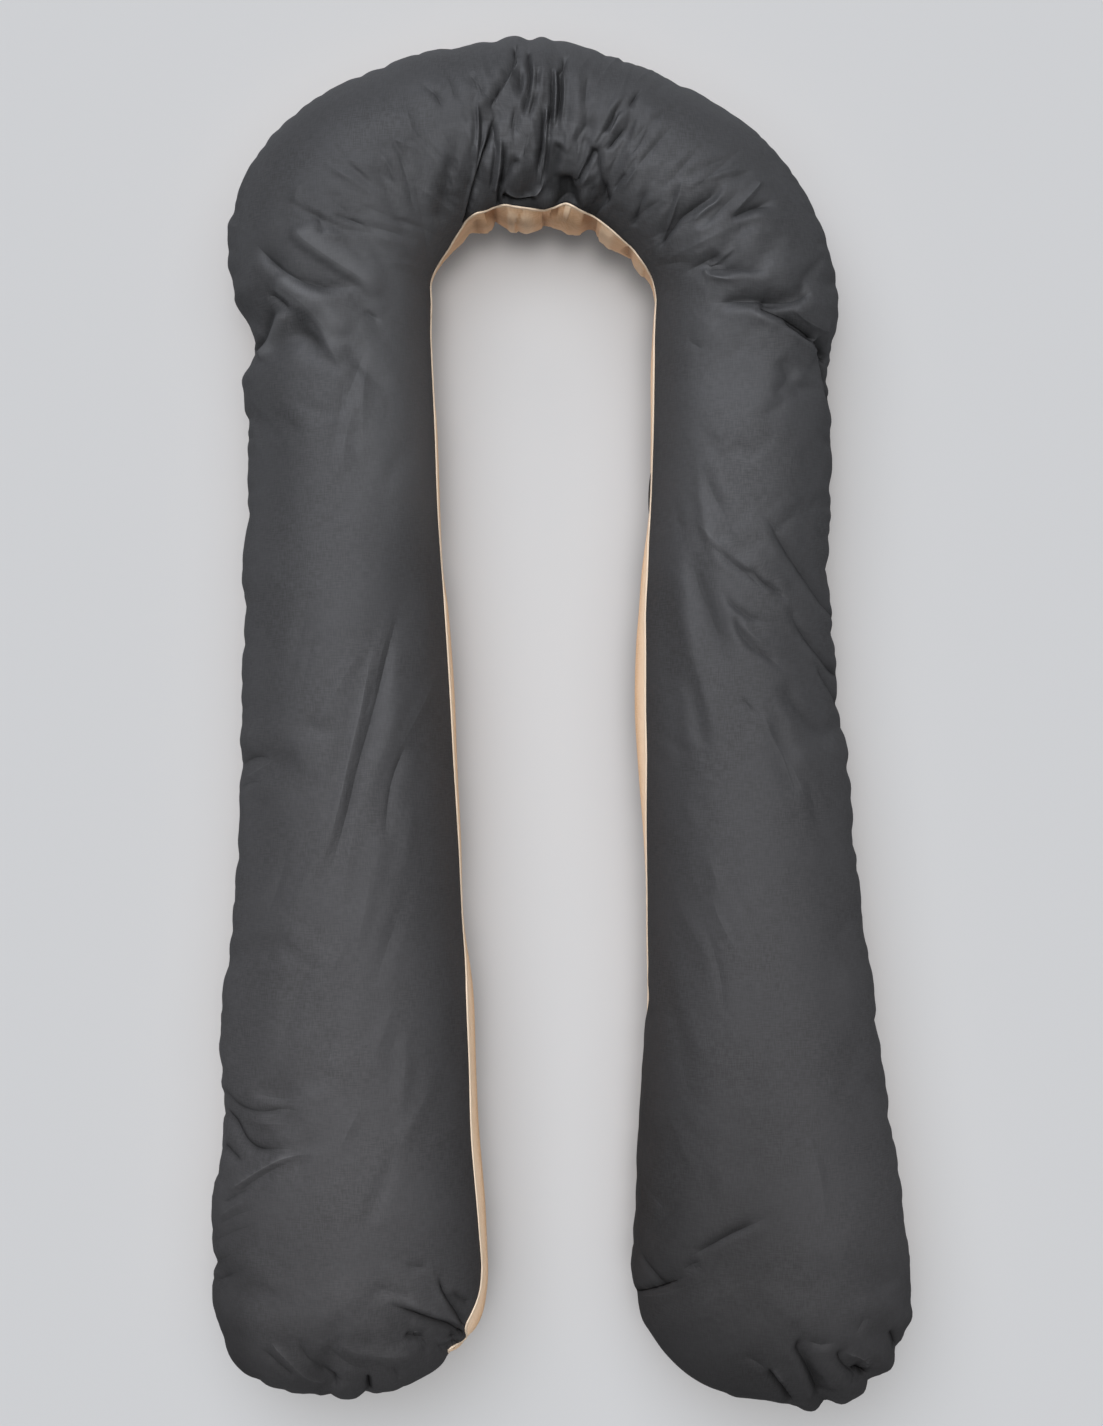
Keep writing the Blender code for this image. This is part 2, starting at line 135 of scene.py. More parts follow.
# The main folds, seen from above: a trough through three places, in millimetres, then its
# half width and its depths at the three places, in tenths of a millimetre.
FOLDS = (
    # the pinch and the pocket where the bend meets the left leg, and the folds above it
    (-310, 376, -294, 404, -270, 420, 150, 6, 48, 36),
    (-290, 452, -238, 430, -182, 422, 140, 12, 14, 4),
    (-215, 384, -190, 340, -172, 312, 120, 0, 24, 0),
    # the pinch and the pocket where it meets the right leg
    (270, 364, 248, 384, 198, 408, 140, 0, 42, 12),
    (254, 432, 210, 418, 150, 410, 120, 12, 48, 0),
    (262, 330, 256, 352, 244, 374, 110, 0, 30, 12),
    # the right side of the bend
    (106, 476, 130, 498, 158, 519, 110, 5, 40, 0),
    (168, 489, 190, 502, 213, 508, 100, 0, 25, 0),
    (136, 442, 156, 454, 172, 466, 100, 5, 35, 0),
    (145, 444, 168, 446, 196, 443, 100, 10, 30, 0),
    # the gathers round the middle of the bend, from left to right
    (-94, 503, -80, 546, -60, 596, 90, 39, 66, 22),
    (-60, 596, -45, 628, -38, 660, 100, 22, 33, 17),
    (-66, 518, -59, 545, -62, 570, 80, 33, 44, 11),
    (-46, 562, -36, 606, -34, 662, 90, 0, 33, 11),
    (-46, 520, -30, 522, -19, 548, 90, 28, 50, 33),
    (-19, 548, -16, 580, -13, 612, 80, 33, 50, 6),
    (-4, 566, -2, 604, -4, 652, 80, 11, 50, 6),
    (2, 510, 4, 535, 4, 556, 100, 55, 55, 11),
    (14, 523, 24, 542, 33, 564, 100, 39, 44, 6),
    (40, 496, 44, 530, 54, 574, 120, 28, 33, 6),
    (46, 552, 58, 574, 70, 600, 100, 0, 28, 6),
    # the left side of the bend
    (-125, 470, -138, 530, -140, 590, 160, 8, 12, 4),
    (-126, 440, -150, 490, -170, 540, 150, 8, 12, 0),
    # the long drag folds down the left leg
    (-165, 108, -196, 0, -230, -140, 200, 10, 30, 5),
    (-163, -30, -176, -100, -188, -180, 150, 5, 25, 0),
    (-322, -46, -290, -40, -262, -52, 130, 20, 40, 0),
    # the end of the left leg
    (-342, -360, -326, -390, -316, -430, 150, 8, 48, 0),
    (-344, -552, -308, -554, -262, -570, 150, 16, 48, 0),
    (-110, -616, -142, -596, -190, -575, 140, 48, 60, 0),
    (-232, -668, -232, -642, -225, -606, 130, 16, 40, 0),
    (-192, -668, -190, -642, -194, -610, 130, 16, 40, 0),
    # the drag folds down the right leg
    (136, 174, 168, 130, 196, 80, 160, 4, 20, 4),
    (206, 190, 240, 140, 266, 96, 160, 0, 24, 12),
    (172, 140, 224, 70, 274, 4, 170, 4, 24, 10),
    # the end of the right leg
    (74, -568, 120, -546, 196, -494, 150, 32, 36, 0),
    (80, -520, 100, -548, 128, -556, 120, 8, 32, 0),
    (262, -672, 252, -648, 240, -616, 120, 8, 56, 0),
    (306, -648, 290, -628, 270, -600, 120, 16, 72, 0),
    (336, -614, 316, -598, 290, -580, 120, 16, 56, 0),
)
RIDGE_SHARE = 0.38  # the roll of cloth each side of a trough, as a share of its depth
FOLD_AT_SEAM = 0.85, 0.022  # the share of a fold that the inner seam takes up, and its reach
FOLD_FADE = (0.012, 0.045)  # folds fade out on the underside, between these heights

CROWN_ROWS = 24  # rows of cloth from the spine down to the seam
CORE_ROWS = 15  # of those, the ones that a leg's round end lays as a square weave
WALL_ROWS = 10  # rows from the seam down to the floor
UNDER_ROWS = 4  # rows from there in to the spine, flat on the floor
TIP_STEPS = 4 * CORE_ROWS
EVEN_SAMPLES = 160  # places along a column at which its length is measured


def eased(rows, at, column):
    """A table's column at places between its rows, on a smooth curve through them."""
    places = np.array([row[0] for row in rows], float)
    values = np.array([getattr(row, column) for row in rows], float)
    if places[0] > places[-1]:
        places, values = places[::-1], values[::-1]
    last = len(places) - 1
    before = np.maximum(np.arange(last + 1) - 1, 0)
    after = np.minimum(np.arange(last + 1) + 1, last)
    slopes = (values[after] - values[before]) / (places[after] - places[before])

    index = np.clip(np.searchsorted(places, at, side="right") - 1, 0, last - 1)
    span = places[index + 1] - places[index]
    t = (at - places[index]) / span
    return (
        values[index] * (1 + 2 * t) * (1 - t) ** 2
        + values[index + 1] * t * t * (3 - 2 * t)
        + slopes[index] * span * t * (1 - t) ** 2
        - slopes[index + 1] * span * t * t * (1 - t)
    )


def smooth_step(value, low, high):
    """0 up to low and 1 from high on, with a smooth rise between them."""
    t = np.clip((value - low) / (high - low), 0, 1)
    return t * t * (3 - 2 * t)


def on_ray(centre, angle, radius):
    turn = np.radians(angle)
    return np.stack([centre[0] + radius * np.cos(turn), centre[1] + radius * np.sin(turn)], -1)


def steps(start, end, count):
    """Places from start towards end, without the end itself."""
    return np.linspace(start, end, count, endpoint=False)


# One column is a line of the cover, from the spine over the side and round to the floor.
Columns = namedtuple("Columns", "centre edge crown seam")


def side_by_side(outer, inner, crown, seam):
    """A run of sections, as the columns of its outer side and those of its inner side."""
    centre = (outer + inner) / 2
    drawn_down = np.full(len(crown), OUTER_SEAM)
    return Columns(centre, outer, crown, drawn_down), Columns(centre, inner, crown, seam)


def leg(rows, y):
    outer = np.stack([eased(rows, y, "outer"), y], -1)
    inner = np.stack([eased(rows, y, "inner"), y], -1)
    return side_by_side(outer, inner, eased(rows, y, "crown"), eased(rows, y, "seam"))


def bend(angle):
    outer = on_ray(BEND_CENTRE, angle, eased(BEND, angle, "outer"))
    inner = on_ray(BEND_CENTRE, angle, eased(BEND, angle, "inner"))
    return side_by_side(outer, inner, eased(BEND, angle, "crown"), eased(BEND, angle, "seam"))


def round_end(rows, centre, crown):
    angle = steps(360, 180, TIP_STEPS)[1:]
    centres = np.tile(centre, (len(angle), 1))
    edge = on_ray(centre, angle, eased(rows, angle, "reach"))
    return Columns(centres, edge, np.full(len(angle), crown), eased(rows, angle, "seam"))


def joined(*runs):
    """Runs of columns, one after the other."""
    return Columns(*(np.concatenate(parts) for parts in zip(*runs)))


# The columns lie closest where the cover is gathered or dragged: each run has its count.
up_left = np.concatenate(
    [steps(LEFT_TIP_CENTRE[1], SHOULDER_Y, 80), steps(SHOULDER_Y, BEND_CENTRE[1], 34)]
)
over = np.concatenate([steps(180, 120, 66), steps(120, 60, 104), steps(60, 0, 66)])
down_right = np.concatenate(
    [
        steps(BEND_CENTRE[1], SHOULDER_Y, 34),
        steps(SHOULDER_Y, -0.05, 42),
        np.linspace(-0.05, RIGHT_TIP_CENTRE[1], 49),
    ]
)
outer_side, inner_side = (
    joined(*runs) for runs in zip(leg(LEFT_LEG, up_left), bend(over), leg(RIGHT_LEG, down_right))
)
backwards = Columns(*(part[::-1] for part in inner_side))
right_end = round_end(RIGHT_TIP, RIGHT_TIP_CENTRE, outer_side.crown[-1])
left_end = round_end(LEFT_TIP, LEFT_TIP_CENTRE, outer_side.crown[0])
columns = joined(outer_side, right_end, backwards, left_end)

SECTIONS = len(outer_side.crown)
ROUND = len(columns.crown)
RIGHT_END = SECTIONS - 1  # the last column before each round end
LEFT_END = ROUND - TIP_STEPS
SEAM_ROW = CROWN_ROWS


def profile(angle, crown):
    """(share of the way out from the spine, height) at angles from 90 at the crown,
    through 0 at the widest line, to -90 where the underside meets the floor."""
    equator = EQUATOR_SHARE * crown
    turn = np.radians(np.abs(angle))
    above = np.cos(np.minimum(turn, math.pi / 2)).clip(0) ** SIDE_FULLNESS
    out = np.where(angle >= 0, above, 1 - CONTACT_INSET * (1 - np.cos(turn)))
    rise = (crown - equator) * np.sin(turn) ** SIDE_FULLNESS
    return out, np.where(angle >= 0, equator + rise, equator * (1 - np.sin(turn)))


def even_angles(start, end, count, width, crown):
    """Angles that lay rows evenly along each column, and the lengths of cloth to them."""
    share = np.linspace(0, 1, EVEN_SAMPLES)
    angle = start[:, None] + (end - start)[:, None] * share
    out, height = profile(angle, crown[:, None])
    pieces = np.hypot(np.diff(out, axis=1) * width[:, None], np.diff(height, axis=1))
    length = np.concatenate([np.zeros((len(start), 1)), np.cumsum(pieces, axis=1)], axis=1)
    rows = np.linspace(0, 1, count + 1)
    found = [np.interp(rows * line[-1], line, turns) for line, turns in zip(length, angle)]
    return np.array(found).T, (rows[:, None] * length[:, -1])


top, bottom = np.full(ROUND, 90.0), np.full(ROUND, -90.0)
reach = np.hypot(*(columns.edge - columns.centre).T)
crown_angles, crown_lengths = even_angles(top, columns.seam, CROWN_ROWS, reach, columns.crown)
wall_angles, wall_lengths = even_angles(columns.seam, bottom, WALL_ROWS, reach, columns.crown)
angles = np.concatenate([crown_angles, wall_angles[1:]])
lengths = np.concatenate([crown_lengths, crown_lengths[-1] + wall_lengths[1:]])

out, height = profile(angles, columns.crown)
plan = columns.centre + (columns.edge - columns.centre) * out[..., None]
inward = np.linspace(1, 0, UNDER_ROWS + 1)[1:, None, None]
under_plan = columns.centre + (plan[-1] - columns.centre) * inward
under_lengths = lengths[-1] + (1 - inward[..., 0]) * reach * out[-1]

plan = np.concatenate([plan, under_plan])
height = np.concatenate([height, np.zeros((UNDER_ROWS, ROUND))])
lengths = np.concatenate([lengths, under_lengths])
from_seam = np.concatenate([angles - columns.seam, np.full((UNDER_ROWS, ROUND), -90.0)])
unit = (columns.edge - columns.centre) / reach[:, None]
cut = columns.centre + unit * lengths[..., None]

gap = (lengths - crown_lengths[-1]).reshape(-1)  # along the cloth, from the seam

# Columns that meet at the spine or under a round end share one point there.
number = np.arange(plan.shape[0] * ROUND).reshape(-1, ROUND)
opposite = np.arange(ROUND - TIP_STEPS, SECTIONS + TIP_STEPS - 2, -1)
for row in (0, -1):
    number[row, opposite] = number[row, :SECTIONS]
number[-1, RIGHT_END + 1 : RIGHT_END + TIP_STEPS] = number[-1, RIGHT_END]
number[-1, LEFT_END + 1 :] = number[-1, 0]

points = np.concatenate([plan, height[..., None]], -1).reshape(-1, 3)
middles = np.broadcast_to(columns.centre, plan.shape).reshape(-1, 2)
equators = np.broadcast_to(EQUATOR_SHARE * columns.crown, height.shape).reshape(-1)
from_seam = from_seam.reshape(-1)
cut = cut.reshape(-1, 2)


def cells(grid):
    """The faces of a grid of points, given by their numbers."""
    corners = grid[:-1, :-1], grid[:-1, 1:], grid[1:, 1:], grid[1:, :-1]
    return np.stack(corners, -1).reshape(-1, 4).tolist()


Weave = namedtuple("Weave", "patch points middles equators from_seam gap cut")
RELAXING_ROUNDS = 400


def square_weave(first, rows, centre, crown, count):
    """Lays the top of a round end as a square patch, so that no rows meet in a point.
    The points inside it are new, and numbered from count."""
    fan = (first + np.arange(TIP_STEPS + 1)) % ROUND
    rim = number[CORE_ROWS, fan]
    patch = np.zeros((CORE_ROWS + 1, 2 * CORE_ROWS + 1), int)
    patch[0] = np.concatenate([number[CORE_ROWS:0:-1, fan[0]], number[: CORE_ROWS + 1, fan[-1]]])
    patch[:, 0] = rim[: CORE_ROWS + 1]
    patch[:, -1] = rim[::-1][: CORE_ROWS + 1]
    patch[-1] = rim[CORE_ROWS : 3 * CORE_ROWS + 1]
    inside = count + np.arange((CORE_ROWS - 1) * (2 * CORE_ROWS - 1))
    patch[1:-1, 1:-1] = inside.reshape(CORE_ROWS - 1, -1)

    place = np.zeros(patch.shape + (2,))
    known = np.ones(patch.shape, bool)
    known[1:-1, 1:-1] = False
    place[known] = points[patch[known], :2]
    place[1:-1, 1:-1] = centre
    for _ in range(RELAXING_ROUNDS):
        around = place[:-2, 1:-1] + place[2:, 1:-1] + place[1:-1, :-2] + place[1:-1, 2:]
        place[1:-1, 1:-1] = around / 4

    found = place[1:-1, 1:-1].reshape(-1, 2)
    away = found - centre
    bearing = np.degrees(np.arctan2(away[:, 1], away[:, 0])) % 360
    share = np.hypot(*away.T) / eased(rows, bearing, "reach")
    turn = np.arccos(np.minimum(share, 1) ** (1 / SIDE_FULLNESS))
    level = EQUATOR_SHARE * crown
    lift = level + (crown - level) * np.sin(turn) ** SIDE_FULLNESS
    middle = fan[TIP_STEPS // 2]
    length = np.interp(share, out[: CORE_ROWS + 1, middle], lengths[: CORE_ROWS + 1, middle])
    stretch = length / np.maximum(share, 1e-6) / reach[middle]
    return Weave(
        patch,
        np.column_stack([found, lift]),
        np.tile(centre, (len(found), 1)),
        np.full(len(found), level),
        np.full(len(found), 90.0),
        length - lengths[SEAM_ROW, middle],
        centre + away * stretch[:, None],
    )


weaves = []
for first, rows, centre, crown in (
    (RIGHT_END, RIGHT_TIP, RIGHT_TIP_CENTRE, outer_side.crown[-1]),
    (LEFT_END, LEFT_TIP, LEFT_TIP_CENTRE, outer_side.crown[0]),
):
    count = number.size + sum(len(weave.points) for weave in weaves)
    weaves.append(square_weave(first, rows, centre, crown, count))
rows_alone = points, middles, equators, from_seam, gap, cut
points, middles, equators, from_seam, gap, cut = (
    np.concatenate(parts) for parts in zip(rows_alone, *(weave[1:] for weave in weaves))
)
visible = np.zeros(len(points))  # 1 in the columns whose seam shows from above
visible[number] = smooth_step(columns.seam, -10, 0)


def dip_of(fold, x, y):
    """How far one fold draws the cover in, at places seen from above."""
    x0, y0, x1, y1, x2, y2 = (value / 1000 for value in fold[:6])
    width, d0, d1, d2 = (value / 10000 for value in fold[6:])
    t = np.linspace(0, 1, 25)
    start, end, middle = (1 - t) * (1 - 2 * t), t * (2 * t - 1), 4 * t * (1 - t)
    line_x = start * x0 + middle * x1 + end * x2
    line_y = start * y0 + middle * y1 + end * y2
    depth = np.maximum(start * d0 + middle * d1 + end * d2, 0)
    away = np.hypot(x[:, None] - line_x, y[:, None] - line_y)
    nearest = away.argmin(axis=1)
    across = away[np.arange(len(x)), nearest] / width
    roll = RIDGE_SHARE * np.exp(-(((across - 2.0) / 0.8) ** 2))
    return depth[nearest] * (np.exp(-(across**2)) - roll)


dip = SEAM_DIP * (1 - INNER_EASE * visible) * np.exp(-((from_seam / SEAM_DIP_REACH) ** 2))
folds = sum(dip_of(fold, points[:, 0], points[:, 1]) for fold in FOLDS)
held_share, held_reach = FOLD_AT_SEAM
dip += folds * (1 - held_share * visible * np.exp(-((gap / held_reach) ** 2)))
dip *= smooth_step(points[:, 2], *FOLD_FADE)
away = points - np.column_stack([middles, equators])
outward = away / np.linalg.norm(away, axis=1).clip(0.01)[:, None]
points = points - outward * dip[:, None]


def quads_between(first_row, last_row):
    """The faces of the rows from first_row to last_row, all the way round."""
    found = []
    at_end = np.zeros(ROUND, bool)
    at_end[RIGHT_END : RIGHT_END + TIP_STEPS] = True
    at_end[LEFT_END:] = True
    for row in range(first_row, last_row):
        for k in range(ROUND):
            if at_end[k] and row < CORE_ROWS:
                continue
            n = (k + 1) % ROUND
            face = (number[row, k], number[row, n], number[row + 1, n], number[row + 1, k])
            found.append(tuple(dict.fromkeys(int(point) for point in face)))
    return found


face_faces = quads_between(0, SEAM_ROW)
for weave in weaves:
    face_faces += cells(weave.patch)
faces = face_faces + quads_between(SEAM_ROW, len(number) - 1)
seam_line = number[SEAM_ROW]

# The stitching gathers the cover along its edge, so along the seam there is more cloth
# than way: the filling swells it out, and the spare cloth lies in folds across the seam.
SPARE = 0.14  # the most spare cloth, as a share of the way along the seam
SPARE_CLOTH = (  # where it is: x, y, reach across, reach along, share of the most
    (-0.010, 0.570, 0.120, 0.130, 0.75),
    (-0.150, 0.520, 0.090, 0.090, 0.45),
    (0.140, 0.520, 0.100, 0.090, 0.50),
    (-0.270, 0.385, 0.080, 0.060, 0.80),
    (0.230, 0.390, 0.080, 0.070, 0.80),
    (-0.300, -0.320, 0.070, 0.070, 0.50),
    (-0.210, -0.650, 0.160, 0.060, 0.60),
    (0.250, -0.640, 0.120, 0.070, 0.85),
    (0.260, 0.060, 0.040, 0.100, 0.15),
)
SPARE_AT_EDGE = 0.25  # share of it near the outer seam, all the way round
SPARE_REACH = 50.0  # degrees of the section over which that share fades
EASE = 0.35  # and how much of the spare cloth lies the other way, across the columns
FRAMES = 20  # how long the filling takes to settle
STRAY = 0.06  # a point that moves further than this is left where it was
SWELLING, SWELLING_ROUNDS = 0.85, 60  # the share of the even swelling that is taken off


def filled(places):
    """Where the filling and the spare cloth bring the points of the bag to rest."""
    x, y, z = places.T
    share = SPARE_AT_EDGE * (1 - visible) * np.exp(-((from_seam / SPARE_REACH) ** 2))
    for cx, cy, across, along, most in SPARE_CLOTH:
        share += most * np.exp(-(((x - cx) / across) ** 2 + ((y - cy) / along) ** 2))
    share = np.clip(share, 0, 1)

    # The cut cloth is longer than its way by a fine zigzag from column to column.
    zigzag = np.zeros(len(places))
    step = np.linalg.norm(places[np.roll(number, -1, axis=1)] - places[number], axis=2)
    sign = np.where(np.arange(ROUND) % 2, 1, -1)
    zigzag[number] = sign * step / 2 * np.sqrt((1 + SPARE * share[number]) ** 2 - 1)
    zigzag[number[:3]] = 0  # on the spine the columns meet
    at_rest = places + outward * zigzag[:, None]

    mesh = bpy.data.meshes.new("bag")
    mesh.from_pydata(places.tolist(), [], faces)
    bag = bpy.data.objects.new("bag", mesh)
    bpy.context.collection.objects.link(bag)
    bag.shape_key_add(name="Basis")
    longer = bag.shape_key_add(name="cut")
    longer.data.foreach_set("co", at_rest.ravel())

    # The seam and the floor hold the cover; the strip below the inner seam is half held.
    held = np.zeros(len(places))
    held[(gap > 0.001) & (visible > 0.5) & (z > 0.02)] = 0.5
    held[seam_line] = 1
    held[z < 0.003] = 1
    pin, firm = bag.vertex_groups.new(name="pin"), bag.vertex_groups.new(name="firm")
    for group, weights in ((pin, held), (firm, 1 - share)):
        level = np.round(weights * 20).astype(int)
        for k in np.unique(level):
            group.add(np.flatnonzero(level == k).tolist(), k / 20, "REPLACE")

    cloth = bag.modifiers.new("cloth", "CLOTH")
    knit = cloth.settings
    knit.quality = 4
    knit.mass = 0.25
    knit.tension_stiffness = knit.compression_stiffness = 25
    knit.shear_stiffness = 8
    knit.bending_stiffness = 0.03
    knit.tension_damping = knit.compression_damping = knit.shear_damping = 5
    knit.bending_damping = 0.2
    knit.air_damping = 1
    knit.use_pressure = True
    knit.uniform_pressure_force = 4
    knit.vertex_group_mass = "pin"
    knit.pin_stiffness = 5
    knit.rest_shape_key = longer
    knit.vertex_group_shrink = "firm"
    knit.shrink_min = -SPARE * EASE
    knit.shrink_max = 0
    knit.effector_weights.gravity = 0
    scene = bpy.context.scene
    scene.frame_start, scene.frame_end = 1, FRAMES
    for frame_number in range(1, FRAMES + 1):
        scene.frame_set(frame_number)
    settled = bag.evaluated_get(bpy.context.evaluated_depsgraph_get()).to_mesh()
    found = np.empty(len(places) * 3)
    settled.vertices.foreach_get("co", found)
    bpy.data.objects.remove(bag, do_unlink=True)
    return found.reshape(-1, 3)


def spread_out(values, rounds):
    """Values at the points, each averaged with its neighbours' a number of times."""
    pairs = np.array([(face[k - 1], face[k]) for face in faces for k in range(len(face))])
    ends = np.concatenate([pairs, pairs[:, ::-1]])
    count = np.bincount(ends[:, 0], minlength=len(values)).clip(1)[:, None]
    for _ in range(rounds):
        total = np.stack(
            [np.bincount(ends[:, 0], values[ends[:, 1], k], len(values)) for k in range(3)], -1
        )
        values = (values + total / count) / 2
    return values


moved = filled(points) - points
moved[np.abs(moved).max(axis=1) > STRAY] = 0
# The bag is already drawn full, so the swelling goes and the folds stay.
moved -= SWELLING * spread_out(moved, SWELLING_ROUNDS)
points = points + moved * smooth_step(points[:, 2], 0, 0.012)[:, None]
points[:, 2] = points[:, 2].clip(0)

# ---------------------------------------------------------------- the two panels
# The cover is laid one step finer, its creases are pressed in one by one, and it is parted
# along the seam into the face panel and the back panel.

coarse = bpy.data.meshes.new("coarse")
coarse.from_pydata(points.tolist(), [], faces)
for name, kind, values in (
    ("cut", "FLOAT_VECTOR", np.column_stack([cut, gap])),
    ("outward", "FLOAT_VECTOR", outward),
    ("visible", "FLOAT", visible),
):
    kept = coarse.attributes.new(name, kind, "POINT")
    kept.data.foreach_set("vector" if kind == "FLOAT_VECTOR" else "value", values.ravel())
coarse.polygons.foreach_set("material_index", np.arange(len(faces)) >= len(face_faces))
ends = np.empty(2 * len(coarse.edges), int)
coarse.edges.foreach_get("vertices", ends)
on_seam = np.isin(ends.reshape(-1, 2), seam_line).all(axis=1)
firm_edge = coarse.attributes.new("crease_edge", "FLOAT", "EDGE")
firm_edge.data.foreach_set("value", on_seam.astype(float))
bag = bpy.data.objects.new("bag", coarse)
bpy.context.collection.objects.link(bag)
bag.modifiers.new("finer", "SUBSURF").levels = 1
fine = bpy.data.meshes.new_from_object(bag.evaluated_get(bpy.context.evaluated_depsgraph_get()))
bpy.data.objects.remove(bag, do_unlink=True)


def read(items, name, width):
    """One attribute of a mesh's items, with width numbers for each."""
    found = np.empty(len(items) * width, int if name.endswith("_index") else float)
    items.foreach_get(name, found)
    return found.reshape(-1, width) if width > 1 else found


places = read(fine.vertices, "co", 3)
flat = read(fine.attributes["cut"].data, "vector", 3)
outward = read(fine.attributes["outward"].data, "vector", 3)
outward /= np.linalg.norm(outward, axis=1).clip(0.1)[:, None]
visible = read(fine.attributes["visible"].data, "value", 1)
quads = read(fine.loops, "vertex_index", 1).reshape(-1, 4)
panel_of = read(fine.polygons, "material_index", 1)
bpy.data.meshes.remove(fine)

